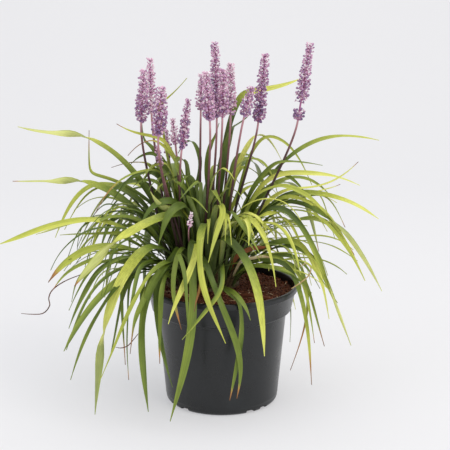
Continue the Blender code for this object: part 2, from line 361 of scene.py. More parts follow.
def pot_profile():
    """From the middle of the floor, up the inside, over the lip, down the outside to the base."""
    roll, inner_roll, lip_edge = 1.9 * MM, 1.2 * MM, 0.9 * MM        # radii round the lip
    foot, collar_round, step_round = 6.0 * MM, 1.6 * MM, 1.8 * MM    # radii down the outside
    ease = 0.6 * MM                          # how far a corner is let down
    corner, lip_foot = BASE - foot + 0.3 * MM, POT_HEIGHT - LIP
    seam_z, seam_half, seam_out = 9.5 * MM, 0.9 * MM, 0.5 * MM       # the ring where the mould's halves met
    seam_r = BASE + (BODY_TOP - BASE) / (STEP_Z - foot) * (seam_z - foot)
    return [
        (0.0, WALL), (corner, WALL), *arc((corner, foot), foot - WALL, -90, 0, 5)[1:],
        (BODY_TOP - WALL, STEP_Z + WALL), (COLLAR_FOOT - WALL, COLLAR_Z + WALL),
        (COLLAR_TOP - WALL, lip_foot),
        *arc((COLLAR_TOP - WALL + inner_roll, POT_HEIGHT - inner_roll), inner_roll, 180, 90, 4),
        *arc((RIM - roll, POT_HEIGHT - roll), roll, 90, 0, 6),
        *arc((RIM - lip_edge, lip_foot + lip_edge), lip_edge, 0, -90, 3),
        (COLLAR_TOP + 0.4 * MM, lip_foot), (COLLAR_TOP, lip_foot - ease),
        *arc((COLLAR_FOOT - collar_round, COLLAR_Z), collar_round, 5, -80, 5),
        *arc((BODY_TOP + step_round, STEP_Z - ease), step_round, 105, 178, 4),
        (seam_r + seam_out, seam_z + seam_half), (seam_r + 1.1 * seam_out, seam_z),
        (seam_r, seam_z - seam_half),
        *arc((corner, foot), foot, 0, -90, 7), (0.0, 0.0)]


print("profile:", len(pot_profile()), "points")


# %% Pot shell
POT_SIDES = 160
SLOT_PAIRS, SLOT_SPREAD = (40, 130, 220, 310), 8.5       # degrees: the pairs, and half their spread
SLOT_PLACE = Vector((67.25, 0.0, 0.25)) * MM
SLOT_SIZE = (26.5 * MM, 13 * MM, 8.5 * MM, 1.0)


def make_pot():
    """The turned shell with its drain slots cut through the corner of the base."""
    pot = new_piece("pot_shell", turned(pot_profile(), POT_SIDES), pot_plastic)
    slots = bmesh.new()
    for angle in [middle + side for middle in SLOT_PAIRS for side in (-SLOT_SPREAD, SLOT_SPREAD)]:
        turn = Matrix.Rotation(math.radians(angle), 4, "Z")
        place = turn @ Matrix.Translation(SLOT_PLACE) @ Matrix.Diagonal(SLOT_SIZE)
        bmesh.ops.create_cube(slots, size=1.0, matrix=place)
    mesh = bpy.data.meshes.new("slots")
    slots.to_mesh(mesh)
    slots.free()
    cutter = new_object("slots", mesh)
    boolean = pot.modifiers.new("slots", "BOOLEAN")
    boolean.object = cutter
    boolean.solver = "EXACT"
    bpy.context.view_layer.update()
    cut = bpy.data.meshes.new_from_object(pot.evaluated_get(bpy.context.evaluated_depsgraph_get()))
    pot.modifiers.clear()
    pot.data = cut
    cut.set_sharp_from_angle(angle=math.radians(50))
    bpy.data.objects.remove(cutter)
    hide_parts("pot")
    return pot


pot = make_pot()
print("pot shell:", len(pot.data.polygons), "faces")


# %% [markdown]
# ## Compost
#
# Peat compost is a mass of dark red-brown crumbs and fibres. The plug inside the pot is already in the
# construction model, so it keeps its shape and takes the compost material. What shows is its top, so a
# crumbly crust is laid over it: a fine disc pushed up and down by noise, with loose crumbs and pale fibres.

# %% Compost material
def make_compost():
    """Matt and broken up: red-brown crumbs darkened in the bump's hollows as painted shade,
    and pale grains on its highest lumps, brightened there as a painted highlight.
    """
    material, tree = new_material("peat_compost")
    place = add_node(tree, "ShaderNodeNewGeometry", "Position")
    crumbs = add_node(tree, "ShaderNodeTexNoise", "Fac", {
        "Vector": place, "Scale": every(2.38), "Detail": 5.0, "Roughness": 0.7})
    grains = add_node(tree, "ShaderNodeTexVoronoi", "Distance", {"Vector": place, "Scale": every(1.923)})
    # the colour follows the same noise as the bump: darkest in its hollows, painted shade between the crumbs;
    # palest on its highest lumps, pale grains with a painted highlight
    tone = add_node(tree, "ShaderNodeValToRGB", "Color", {"Fac": crumbs}, [
        (0.36, "#200f09"), (0.48, "#52291a"), (0.58, "#74422b"), (0.66, "#9c6a4c"), (0.74, "#d6b592")])
    height = add_node(tree, "ShaderNodeMath", "Value", {0: crumbs, 1: grains}, operation="SUBTRACT")
    bump = add_node(tree, "ShaderNodeBump", "Normal", {
        "Height": height, "Strength": 0.8, "Distance": 1.2 * MM})
    return shade(material, {
        "Base Color": tone, "Normal": bump, "Roughness": 0.92, "Specular IOR Level": 0.25})


compost = make_compost()
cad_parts["soil"].data.materials.clear()
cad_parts["soil"].data.materials.append(compost)
print("compost: crumbs about 2 mm")


# %% Compost crust
SOIL_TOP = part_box("soil")[1].z
SOIL_WALL = 90.2 * MM            # where the crust meets the pot wall
SOIL_SHOULDER = 68 * MM          # where it starts to fall away


def soil_height(x, y):
    """Height of the crust: domed to the plant, with lumps of 11 mm and crumbs of 3 mm."""
    edge = max((math.hypot(x, y) - SOIL_SHOULDER) / (SOIL_WALL - SOIL_SHOULDER), 0.0)
    lumps = noise.noise(Vector((x, y, 0.1)) * 90) * 1.1 + noise.noise(Vector((x, y, 0.7)) * 330) * 0.8
    return SOIL_TOP + (1.8 - 4.6 * edge ** 1.5 + lumps) * MM


def make_crust():
    """A disc of staggered rings over the compost plug."""
    rings, sides = 54, 210
    points = [(0.0, 0.0, soil_height(0.0, 0.0))]
    for ring in range(1, rings + 1):
        for step in range(sides):
            x, y = polar(SOIL_WALL * ring / rings, math.tau * (step + 0.5 * (ring % 2)) / sides)
            points.append((x, y, soil_height(x, y)))
    crust = new_piece("compost_crust", (points, dome_faces(rings, sides)), compost)
    thick = crust.modifiers.new("thickness", "SOLIDIFY")
    thick.thickness = 2.2 * MM
    thick.offset = -1.0


make_crust()
print("crust: wall to wall at", round(SOIL_TOP / MM, 1), "mm")


# %% Loose crumbs
CRUMBS, CRUMB_SIZES = 900, (1.0, 1.3, 1.7, 2.6)          # how many, and their usual sizes in mm


def crumb(place, size, rng):
    """A lump with eight uneven corners."""
    turn = Matrix.Rotation(rng.uniform(0, math.tau), 3, (rng.random(), rng.random(), rng.random() + 0.1))
    corners = []
    for corner in range(8):
        signs = Vector(((corner & 1) * 2 - 1, (corner & 2) - 1, (corner & 4) / 2 - 1))
        corners.append(place + turn @ (signs * (size * rng.uniform(0.35, 0.62))))
    return corners, [(0, 2, 3, 1), (4, 5, 7, 6), (0, 1, 5, 4), (2, 6, 7, 3), (0, 4, 6, 2), (1, 3, 7, 5)]


def make_crumbs():
    """Crumbs scattered evenly over the crust, sunk a little into it."""
    rng = random.Random(11)
    parts = []
    for _ in range(CRUMBS):
        x, y = polar(88 * MM * math.sqrt(rng.random()), rng.uniform(0, math.tau))
        size = rng.choice(CRUMB_SIZES) * MM * rng.uniform(0.8, 1.2)
        parts.append(crumb(Vector((x, y, soil_height(x, y) + 0.2 * size)), size, rng))
    crumbs = new_piece("compost_crumbs", joined(parts), compost)


make_crumbs()
print(CRUMBS, "loose crumbs, 1 to 3 mm")


# %% Pale fibres in the compost
FIBRES = 110


def make_fibre_material():
    """Dry and matt, from tan to nearly white, so the fibres read as thin pale strokes on the compost."""
    material, tree = new_material("dry_root_fibre")
    place = add_node(tree, "ShaderNodeNewGeometry", "Position")
    cloud = add_node(tree, "ShaderNodeTexNoise", "Fac", {"Vector": place, "Scale": every(3.33)})
    tone = add_node(tree, "ShaderNodeValToRGB", "Color", {"Fac": cloud}, [
        (0.35, "#a08262"), (0.55, "#cdb592"), (0.7, "#e8dcc4")])
    return shade(material, {"Base Color": tone, "Roughness": 0.8})


def make_fibres():
    """Short curling threads that lie on the crust and lift in their middle."""
    rng = random.Random(29)
    steps = 6
    parts = []
    for _ in range(FIBRES):
        place = Vector((*polar(84 * MM * math.sqrt(rng.random()), rng.uniform(0, math.tau)), 0.0))
        heading, curl, length = rng.uniform(0, math.tau), rng.uniform(-0.5, 0.5), rng.uniform(3, 10) * MM
        path = []
        for step in range(steps + 1):
            lift = 0.5 * MM + 0.9 * MM * math.sin(math.pi * step / steps)
            path.append(Vector((place.x, place.y, soil_height(place.x, place.y) + lift)))
            heading += curl
            place += Vector((*polar(1.0, heading), 0.0)) * (length / steps)
        parts.append(tube(path, [rng.uniform(0.22, 0.4) * MM] * len(path), 5))
    fibres = new_piece("compost_fibres", joined(parts), make_fibre_material())


make_fibres()
print(FIBRES, "fibres")


# %% [markdown]
# ## Leaves: one long strap each
#
# A liriope leaf is a strap about a centimetre wide and up to forty long. It rises steeply from the crown,
# arches over its highest point and hangs. Its section is a shallow gutter with a midrib, and it twists as
# it goes, so that the pale underside shows here and there. A leaf is swept along two Bezier curves that
# meet level at its crest, which needs only three places: the root, the crest and the tip. The outer leaves
# take theirs from the construction model's plan, and the same three places describe every further leaf.

# %% Leaf material
def make_leaf_material():
    """Waxed satin over parallel veins: soft painted streaks of light and shade along the blade, lime where
    the leaf is ripe.
    """
    material, tree = new_material("lilyturf_leaf")
    ripe, across, along, dried, under = (
        add_node(tree, "ShaderNodeAttribute", "Fac", attribute_name=name)
        for name in ("ripe", "across", "along", "dried", "under"))
    place = add_node(tree, "ShaderNodeNewGeometry", "Position")
    cloud = add_node(tree, "ShaderNodeTexNoise", "Fac", {
        "Vector": place, "Scale": every(18.2), "Detail": 2.0})
    drift = add_node(tree, "ShaderNodeMapRange", "Result", {"Value": cloud, "To Min": -0.09, "To Max": 0.09})
    factor = add_node(tree, "ShaderNodeMath", "Value", {0: ripe, 1: drift}, operation="ADD")
    # dark at the root, mid green, lime, then the yellow of an old tip
    body = add_node(tree, "ShaderNodeValToRGB", "Color", {"Fac": factor}, [
        (0.0, "#3a4916"), (0.25, "#586c22"), (0.45, "#7b8c33"), (0.65, "#a4ae44"), (0.82, "#c5ca55"),
        (1.0, "#dfe176")])
    # veins: four waves in each half of the blade, so about 1 mm apart; with a noise stretched along the blade
    # they lighten and darken the colour: the veins' own lines and painted streaks of sheen
    turns = add_node(tree, "ShaderNodeMath", "Value", {0: across, 1: 26.0}, operation="MULTIPLY")
    veins = add_node(tree, "ShaderNodeMath", "Value", {0: turns}, operation="SINE")
    strip = add_node(tree, "ShaderNodeCombineXYZ", "Vector", {"X": across, "Y": along, "Z": ripe})
    strip = add_node(tree, "ShaderNodeMapping", "Vector", {"Vector": strip, "Scale": (3.0, 5.0, 40.0)})
    streak = add_node(tree, "ShaderNodeTexNoise", "Fac", {"Vector": strip, "Scale": 1.0, "Detail": 3.0})
    ridges = add_node(tree, "ShaderNodeMath", "Value", {0: veins, 1: 0.12, 2: streak},
                      operation="MULTIPLY_ADD")
    vein_and_sheen_tone = add_node(tree, "ShaderNodeMapRange", "Result", {
        "Value": ridges, "From Min": 0.25, "From Max": 0.75, "To Min": 0.76, "To Max": 1.2})
    veined_and_sheened = add_node(tree, "ShaderNodeHueSaturation", "Color", {"Color": body, "Value": vein_and_sheen_tone})
    # the underside is paler and greyer
    pale = add_node(tree, "ShaderNodeHueSaturation", "Color", {
        "Color": veined_and_sheened, "Saturation": 0.8, "Value": 1.12})
    sides = add_node(tree, "ShaderNodeMix", "Result", {"Factor": under, "A": veined_and_sheened, "B": pale},
                     data_type="RGBA")
    # dead tips: straw, then brown
    dead = add_node(tree, "ShaderNodeValToRGB", "Color", {"Fac": dried}, [
        (0.0, "#c9ac5e"), (0.6, "#a9763f"), (1.0, "#6d472b")])
    amount = add_node(tree, "ShaderNodeMapRange", "Result", {
        "Value": dried, "From Min": 0.12, "From Max": 0.5})
    tone = add_node(tree, "ShaderNodeMix", "Result", {"Factor": amount, "A": sides, "B": dead},
                    data_type="RGBA")
    bump = add_node(tree, "ShaderNodeBump", "Normal", {
        "Height": veins, "Strength": 0.25, "Distance": 0.2 * MM})
    return shade(material, {"Base Color": tone, "Normal": bump, "Roughness": 0.42, "IOR": 1.42})


leaf_material = make_leaf_material()
print("leaf: IOR 1.42, waxed satin")


# %% Leaf line
STATIONS = 36                    # rings of points along a leaf
CLUMP = (-24, 12)                # middle of the clump, mm
CROWN_MIDDLE = (CLUMP[0] * MM, CLUMP[1] * MM)
CROWN_REACH = (46 * MM, 36 * MM)
CROWN_TOP, CROWN_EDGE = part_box("crown")[1].z, 143.4 * MM


def crown_height(x, y):
    """Top of the crown of leaf bases."""
    spread = ((x - CROWN_MIDDLE[0]) / CROWN_REACH[0]) ** 2 + ((y - CROWN_MIDDLE[1]) / CROWN_REACH[1]) ** 2
    return CROWN_TOP - (CROWN_TOP - CROWN_EDGE) * 0.7 * min(spread, 1.0)


def on_crown(root):
    """The place on the crown over a root in millimetres."""
    x, y = root[0] * MM, root[1] * MM
    return Vector((x, y, crown_height(x, y)))


def bezier(a, b, c, d, t):
    """The place at share t of a cubic Bezier curve."""
    return a * (1 - t) ** 3 + b * (3 * t * (1 - t) ** 2) + c * (3 * t * t * (1 - t)) + d * t ** 3


def leaf_line(root, crest, tip):
    """Points along a leaf that rises to its crest and hangs from there."""
    root = on_crown(root) - Vector((0.0, 0.0, 1.5 * MM))
    crest, tip = Vector(crest) * MM, Vector(tip) * MM
    rise, fall = crest - root, tip - crest
    level = Vector((tip.x - root.x, tip.y - root.y, 0.0)).normalized()
    climb = (root, root + Vector((0.2 * rise.x, 0.2 * rise.y, 0.55 * rise.z)),
             crest - level * (0.5 * rise.xy.length), crest)
    hang = (crest, crest + level * (0.45 * fall.xy.length),
            tip - Vector((0.22 * fall.x, 0.22 * fall.y, 0.5 * fall.z)), tip)
    share = rise.length / (rise.length + fall.length)
    line = []
    for station in range(STATIONS):
        t = station / (STATIONS - 1)
        line.append(bezier(*climb, t / share) if t < share else bezier(*hang, (t - share) / (1 - share)))
    return line


print("a leaf has", STATIONS, "stations")


# %% Leaf and its twist
class Leaf:
    """A leaf's plan: places and width in millimetres, rolls in degrees, ripeness and dried share up to 1."""

    def __init__(self, name, plan, cad=None):
        root, crest, tip, self.width, self.tip_roll, self.ripe, self.dried, self.mid_roll = plan
        self.name, self.cad = name, cad
        self.line = leaf_line(root, crest, tip)
        self.twist = 40.0 if cad else 75.0
        self.green = 0.1                  # share of the length that stays dark
        self.shoulder = 0.6               # where the blade starts to narrow to its point
        self.half_turn = 0.0              # where it turns over, if it does
        self.fade = 0.0                   # how much greener it is beyond that
        away = math.degrees(math.atan2(abs(tip[0] - root[0]), root[1] - tip[1]))
        self.face = 0.55 * away * (1 if tip[0] > root[0] else -1) if away < 100 else 0.0
        self.seed = len(name) + sum(ord(letter) * (i + 3) for i, letter in enumerate(name))
        facing = Vector((tip[0] - root[0], tip[1] - root[1])).normalized()
        self.across = Vector((-facing.y, facing.x, 0.0))

    def sway(self, size, late=1.0, way=None):
        """Bow the hanging part, by default sideways; a larger late bows it nearer the tip."""
        for station, point in enumerate(self.line):
            t = max((station / (STATIONS - 1) - 0.35) / 0.65, 0.0)
            self.line[station] = point + (way or self.across) * (size * MM * math.sin(math.pi * t ** late))

    def ripple(self, size):
        """Wander a little from the drawn line, more towards the tip."""
        for station, point in enumerate(self.line):
            t = station / (STATIONS - 1)
            shift = noise.noise_vector(Vector((t * 3.1, self.seed * 0.37, 0.5))) * (size * t * (1.3 - t) * 2)
            self.line[station] = point + shift


def leaf_frames(leaf):
    """Tangent, across and up directions at every station, with the leaf's twist."""
    frames = []
    for station in range(STATIONS):
        before, after = leaf.line[max(station - 1, 0)], leaf.line[min(station + 1, STATIONS - 1)]
        tangent = (after - before).normalized()
        t = station / (STATIONS - 1)
        roll = leaf.mid_roll * math.sin(math.pi * min(t * 1.2, 1.0)) + leaf.tip_roll * t * t
        roll += leaf.twist * min(t / 0.3, 1.0) * noise.noise(Vector((t * 3.4, leaf.seed * 0.23, 7.5)))
        # a hanging blade shows its face to the front, not its edge
        roll += leaf.face * max(-tangent.z, 0.0)
        if leaf.half_turn:
            over = min(max((t - leaf.half_turn + 0.13) / 0.26, 0.0), 1.0)
            roll += 180 * over * over * (3 - 2 * over)
        across = leaf.across - tangent * leaf.across.dot(tangent)
        across = Matrix.Rotation(math.radians(roll), 3, tangent) @ across.normalized()
        frames.append((tangent, across, tangent.cross(across).normalized()))
    return frames


print("a leaf can sway, ripple and twist")


# %% [markdown]
# ## Leaves by place
#
# On the plant each outer leaf has its own way to lie, and no rule gives that. So the leaves that can be
# told apart are listed one by one, first those of the construction model and then the ones between them.

# %% Plans of the outer leaves
# root, crest, tip, width, tip roll, ripeness, dried share, mid roll
BLADES = [
    ((-44, 7), (-200, 30, 335), (-255, 40, 341), 9, -30, 0.78, 0.03, -35),
    ((-57, 7), (-190, 2, 281), (-255, -8, 281), 9, -28, 0.76, 0.05, -30),
    ((-61, -5), (-184, -26, 243), (-270, -38, 209), 9, -24, 0.80, 0.03, -25),
    ((-54, 26), (-155, 46, 268), (-212, 34, 200), 9, -20, 0.74, 0.03, -30),
    ((-58, -10), (-145, -42, 208), (-208, -58, 167), 9, -30, 0.70, 0.14, -20),
    ((-32, -4), (-52, -30, 246), (-170, -110, 177), 13, -30, 0.90, 0.05, -44),
    ((-50, -16), (-78, -50, 190), (-186, -100, 95), 10, -22, 0.44, 0.02, -12),
    ((-42, -18), (-84, -60, 212), (-150, -112, 20), 11, 14, 0.96, 0.02, -20),
    ((-34, -21), (-62, -62, 192), (-86, -118, 26), 9, 20, 0.36, 0.02, 10),
    # this leaf and the next hang over the front of the pot; their low ripeness darkens them as painted shade
    ((-26, -17), (-32, -50, 218), (-60, -126, 17), 10, 12, 0.44, 0.02, 10),
    ((-18, -22), (-24, -58, 198), (18, -124, 45), 9, -16, 0.38, 0.06, 12),
    ((-11, -17), (2, -45, 220), (50, -124, 97), 11, 8, 0.88, 0.02, 10),
    ((5, -10), (20, -34, 244), (64, -86, 170), 7, -8, 0.84, 0.03, 8),
    ((14, -8), (68, -50, 192), (110, -62, 38), 7, 18, 0.80, 0.14, 20),
    ((17, 0), (70, -30, 254), (156, -72, 92), 8, 22, 0.82, 0.03, 30),
    ((13, 11), (82, -8, 258), (196, -40, 151), 9, 26, 0.92, 0.04, 30),
    ((16, 15), (108, 6, 274), (194, -2, 233), 9, 30, 0.96, 0.03, 30),
    ((2, 14), (150, 26, 332), (195, 22, 327), 9, 34, 0.84, 0.03, 30),
    ((6, 23), (60, 40, 330), (113, 34, 268), 11, 30, 0.66, 0.03, 30),
    ((-12, 27), (34, 54, 384), (102, 70, 399), 11, 40, 0.92, 0.03, 34),
    ((8, 33), (78, 88, 262), (134, 156, 150), 10, -12, 0.60, 0.05, 12),
    ((-10, 37), (30, 96, 290), (62, 186, 196), 10, 14, 0.52, 0.03, 8),
    ((-24, 44), (-20, 108, 240), (-40, 185, 118), 10, -10, 0.64, 0.03, 8),
    ((-42, 38), (-66, 98, 286), (-92, 182, 188), 10, 12, 0.50, 0.08, -8),
    ((-56, 34), (-115, 84, 262), (-190, 116, 176), 10, -14, 0.70, 0.03, -20),
]
print(len(BLADES), "outer leaves")


# %% Plans of the leaves between them
BETWEEN = [
    # left, from the top down
    ((-50, 24), (-160, 60, 284), (-168, 70, 332), 7, -40, 0.70, 0.10, -50),
    ((-54, 10), (-150, 20, 236), (-234, 18, 210), 8, -30, 0.84, 0.04, -30),
    ((-52, 20), (-150, 40, 262), (-200, 26, 214), 6, -20, 0.66, 0.04, -30),
    ((-48, 0), (-84, -14, 300), (-150, -34, 245), 4, -20, 0.62, 0.22, -40),
    ((-46, 12), (-98, 14, 300), (-140, 30, 292), 8, -30, 0.55, 0.30, -50),
    ((-55, -4), (-130, -10, 216), (-195, -30, 219), 8, -30, 0.62, 0.03, -30),
    ((-58, 6), (-150, 10, 206), (-192, 8, 170), 7, -20, 0.55, 0.04, -30),
    ((-50, -12), (-116, -42, 202), (-200, -72, 160), 8, -20, 0.52, 0.08, -20),
    ((-48, -14), (-118, -52, 196), (-158, -64, 164), 8, -20, 0.34, 0.04, -20),
    ((-52, -10), (-122, -34, 192), (-184, -60, 108), 8, -14, 0.40, 0.03, -14),
    ((-46, -16), (-90, -54, 190), (-180, -92, 56), 9, -18, 0.42, 0.02, -14),
    ((-38, -17), (-66, -62, 196), (-142, -122, 70), 9, -10, 0.66, 0.02, -12),
    ((-56, 0), (-128, -6, 240), (-176, -24, 196), 8, -30, 0.48, 0.03, -30),
    ((-60, 10), (-134, 30, 250), (-190, 44, 232), 8, -40, 0.62, 0.03, -40),
    ((-58, 16), (-120, 50, 230), (-170, 60, 180), 9, -30, 0.34, 0.03, -30),
    ((-44, -12), (-100, -44, 182), (-136, -78, 78), 8, 10, 0.36, 0.03, -10),
    ((-42, -16), (-80, -60, 176), (-108, -102, 92), 7, 14, 0.46, 0.18, -10),
    ((-40, -18), (-60, -56, 186), (-72, -110, 79), 8, 10, 0.38, 0.10, -10),
    ((-48, -12), (-108, -52, 180), (-114, -97, 77), 6, 0, 0.36, 0.14, -10),
    ((-46, -12), (-104, -56, 176), (-110, -106, 60), 4, 0, 0.30, 0.05, -10),
    ((-46, -14), (-88, -42, 178), (-98, -88, 113), 7, 0, 0.34, 0.03, -10),
    ((-42, -14), (-70, -42, 186), (-112, -94, 139), 10, 0, 0.52, 0.03, -10),
    ((-50, -14), (-96, -42, 192), (-188, -82, 87), 8, 0, 0.36, 0.03, -10),
    # the dark fan at the left of the middle
    ((-44, 4), (-92, -2, 288), (-136, -12, 254), 12, -30, 0.22, 0.02, -36),
    ((-46, 12), (-110, 18, 276), (-152, 22, 246), 12, -34, 0.26, 0.02, -36),
    ((-40, -4), (-70, -24, 262), (-104, -50, 214), 12, -20, 0.24, 0.02, -30),
    ((-36, 4), (-72, -4, 296), (-98, -16, 272), 12, -30, 0.20, 0.02, -44),
    ((-42, 8), (-84, 10, 312), (-112, 14, 296), 11, -40, 0.28, 0.02, -44),
    ((-36, -8), (-52, -30, 256), (-76, -60, 212), 11, -16, 0.30, 0.02, -24),
    ((-48, 2), (-118, -14, 238), (-150, -34, 200), 10, -26, 0.28, 0.02, -26),
    ((-30, -6), (-60, -26, 250), (-84, -42, 276), 11, 20, 0.66, 0.03, -50),
    # upright leaves among the flower stalks
    ((-44, 22), (-84, 50, 366), (-44, 60, 397), 7, 40, 0.78, 0.04, 40),
    ((-58, 18), (-98, 38, 322), (-100, 40, 344), 8, 20, 0.34, 0.04, -50),
    ((-20, 34), (-10, 44, 322), (-2, 48, 344), 9, 60, 0.40, 0.04, 50),
    ((-28, 2), (-90, 0, 330), (-114, -10, 314), 5, -40, 0.80, 0.30, -40),
    ((-24, -2), (-76, -22, 336), (-122, -30, 355), 7, -40, 0.80, 0.06, -50),
    ((-14, 24), (18, 46, 340), (34, 52, 352), 12, 50, 0.36, 0.02, 60),
    ((-30, 30), (-44, 60, 318), (-56, 76, 300), 10, 40, 0.28, 0.02, 40),
    ((-6, 30), (26, 64, 300), (56, 84, 284), 11, 40, 0.26, 0.02, 40),
    # over the front of the pot, left to right; most are given a lower ripeness, which darkens them as painted
    # shade
    ((-34, -18), (-50, -40, 206), (-56, -113, 56), 12, -10, 0.26, 0.03, -10),
    ((-30, -20), (-42, -44, 207), (-46, -102, 121), 8, 14, 0.46, 0.16, -10),
    ((-24, -20), (-30, -50, 216), (-62, -124, 134), 9, 20, 0.88, 0.04, 14),
    ((-18, -22), (-18, -56, 186), (-30, -110, 146), 6, 10, 0.72, 0.40, 10),
    ((-16, -12), (-18, -40, 236), (5, -124, 112), 10, -4, 0.74, 0.03, 6),
    ((-12, -10), (-10, -34, 262), (-12, -108, 206), 9, 6, 0.70, 0.03, -6),
    ((-16, -20), (-2, -58, 192), (-46, -122, 116), 6, 30, 0.50, 0.04, 20),
    ((-12, -20), (0, -80, 166), (10, -122, 42), 8, 12, 0.38, 0.06, -10),
    ((-6, -20), (10, -84, 163), (33, -112, 137), 7, 16, 0.40, 0.04, 20),
    ((-4, -14), (10, -28, 250), (46, -92, 206), 10, 10, 0.50, 0.03, 10),
    # right, from the top down
    ((8, 18), (86, -12, 306), (122, -18, 302), 12, 20, 0.30, 0.03, 50),
    ((0, 24), (48, 42, 334), (76, 44, 296), 11, 30, 0.90, 0.03, 30),
    ((8, 8), (82, 0, 300), (170, -10, 276), 9, 30, 0.82, 0.03, 34),
    ((10, 4), (96, -8, 270), (165, -20, 306), 8, 44, 0.88, 0.05, 44),
    ((14, 10), (98, 10, 262), (148, 8, 276), 8, 40, 0.90, 0.05, 40),
    ((14, 16), (120, 12, 264), (156, 10, 220), 4, 20, 0.50, 0.05, 20),
    ((10, -2), (84, -20, 258), (160, -34, 196), 4, 20, 0.60, 0.05, 20),
    ((12, 4), (90, -4, 264), (174, -34, 164), 7, 30, 0.74, 0.03, 30),
    ((14, 8), (96, 10, 242), (178, 2, 152), 8, 26, 0.58, 0.03, 26),
    ((16, 12), (108, 22, 224), (166, 20, 184), 9, 26, 0.40, 0.03, 26),
    ((6, -6), (74, -22, 254), (112, -44, 212), 8, 26, 0.70, 0.04, 26),
    ((14, -4), (92, -16, 212), (134, -26, 110), 12, 24, 0.78, 0.03, 30),
    ((2, -12), (60, -38, 238), (92, -88, 184), 8, 16, 0.60, 0.04, 16),
    ((10, -8), (68, -34, 190), (112, -60, 94), 8, 18, 0.50, 0.05, 20),
    ((14, -2), (84, -22, 184), (130, -36, 80), 8, 20, 0.42, 0.12, 24),
    ((12, -6), (76, -36, 196), (82, -66, 60), 6, 12, 0.30, 0.25, 20),
    ((16, 4), (96, -6, 200), (151, -12, 105), 9, 24, 0.50, 0.03, 30),
    ((8, 0), (72, -16, 276), (128, -30, 244), 10, 34, 0.56, 0.03, 40),
    ((4, 6), (64, 0, 288), (104, -8, 262), 11, 34, 0.28, 0.02, 44),
    ((10, 10), (88, 16, 282), (136, 20, 256), 10, 34, 0.40, 0.02, 40),
    ((6, -10), (58, -40, 184), (100, -58, 160), 8, 10, 0.34, 0.03, 20),
    ((10, -6), (66, -30, 182), (108, -44, 148), 8, 14, 0.30, 0.03, 24),
    ((14, 2), (80, -8, 188), (120, -20, 150), 9, 20, 0.26, 0.03, 30),
]
leaves = [Leaf(f"outer_leaf_{index:02d}", plan, f"leaf_{index:02d}") for index, plan in enumerate(BLADES, 1)]
leaves += [Leaf(f"leaf_between_{index:02d}", plan) for index, plan in enumerate(BETWEEN, 1)]
print(len(leaves), "leaves by place")


# %% [markdown]
# ## Leaves by rule
#
# The middle of a clump is a thicket in which no leaf is seen whole. Seeded rules fill it: the roots go
# round in golden turns, so that no two leaves line up, and a leaf is steeper and taller the nearer it is to
# the middle. Thin young leaves and the leaves at the back get a rule each.

# %% Inner leaves
GOLDEN_TURN = 2.39996            # radians between one filler and the next
DRIED = 0.03                     # share of a filler that has dried


def beyond(place, distance, way):
    """The place at a distance from another, in the ground plane."""
    return place[0] + distance * way[0], place[1] + distance * way[1]


def inner_leaves(count):
    """Leaves that fill the clump: steep and tall in the middle, low and far at the edge."""
    rng = random.Random(5)
    made = []
    for index in range(count):
        angle = GOLDEN_TURN * index + rng.uniform(-0.2, 0.2)
        out = polar(1.0, angle)
        edge = math.sqrt((index + 0.5) / count)
        front_right = -1.45 < math.atan2(out[1], out[0]) < 0.05
        root = (CLUMP[0] + 40 * edge * out[0], CLUMP[1] + 30 * edge * out[1])
        reach = rng.uniform(34, 62) + 38 * edge
        height = 304 - 96 * edge + rng.uniform(-44, 22)
        drop = rng.uniform(16, 46) + 74 * edge * rng.random()
        width = rng.uniform(5.5, 10)
        ripe = rng.choice((0.24, 0.3, 0.38, 0.5, 0.66)) + 0.12 * edge + (0.2 if out[0] > 0 else 0.0)
        tip_roll, mid_roll = rng.uniform(0, 30), rng.uniform(0, 30)
        if front_right and edge > 0.45:
            height, drop, reach = 232 + rng.uniform(0, 24), 26.0, 0.5 * reach
        elif out[1] < -0.2 and edge < 0.85:
            height, drop, reach = 270 + rng.uniform(0, 50), 14.0, 0.45 * reach
        crest = (*beyond(root, reach, out), height)
        bend = angle + rng.uniform(-0.8, 0.8)
        tip = (*beyond(crest, 0.42 * reach + 12, polar(1.0, bend)), height - drop)
        side = 1 if out[0] > 0 else -1
        plan = (root, crest, tip, width, side * tip_roll, ripe, DRIED, side * mid_roll)
        made.append(Leaf(f"inner_leaf_{index + 1:02d}", plan))
    return made


leaves += inner_leaves(60)
print(len(leaves), "leaves with the inner ones")


# %% Thin leaves and the leaves at the back
def thin_leaves(count):
    """Young and edge-on leaves, narrow and wandering, mostly towards the sides."""
    rng = random.Random(17)
    over_pot, lowest = 125, 184          # within this reach the tips stay above this height, mm
    made = []
    for index in range(count):
        side = -1 if index % 2 else 1
        angle = rng.uniform(-0.75, 0.6)
        out = (side * math.cos(angle), math.sin(angle))
        root = (CLUMP[0] + 32 * out[0] * rng.random(), CLUMP[1] + 26 * out[1] * rng.random())
        reach, height = rng.uniform(60, 125), rng.uniform(176, 268)
        crest = (*beyond(root, reach, out), height)
        far, bend = rng.uniform(24, 60), angle + rng.uniform(-0.7, 0.3)
        x, y = beyond(crest, far, (side * math.cos(bend), math.sin(bend)))
        tip = (x, y, height - rng.uniform(0, 80))
        if math.hypot(x, y) < over_pot:
            tip = (x, y, max(tip[2], lowest))
        ripe = rng.choice((0.2, 0.26, 0.34, 0.5)) + (0.25 if side > 0 else 0.0)
        plan = (root, crest, tip, rng.uniform(2.6, 5.0), 30 * side, ripe, DRIED, 0.0)
        leaf = Leaf(f"thin_leaf_{index + 1:02d}", plan)
        leaf.sway(rng.uniform(-16, 16))
        made.append(leaf)
    return made


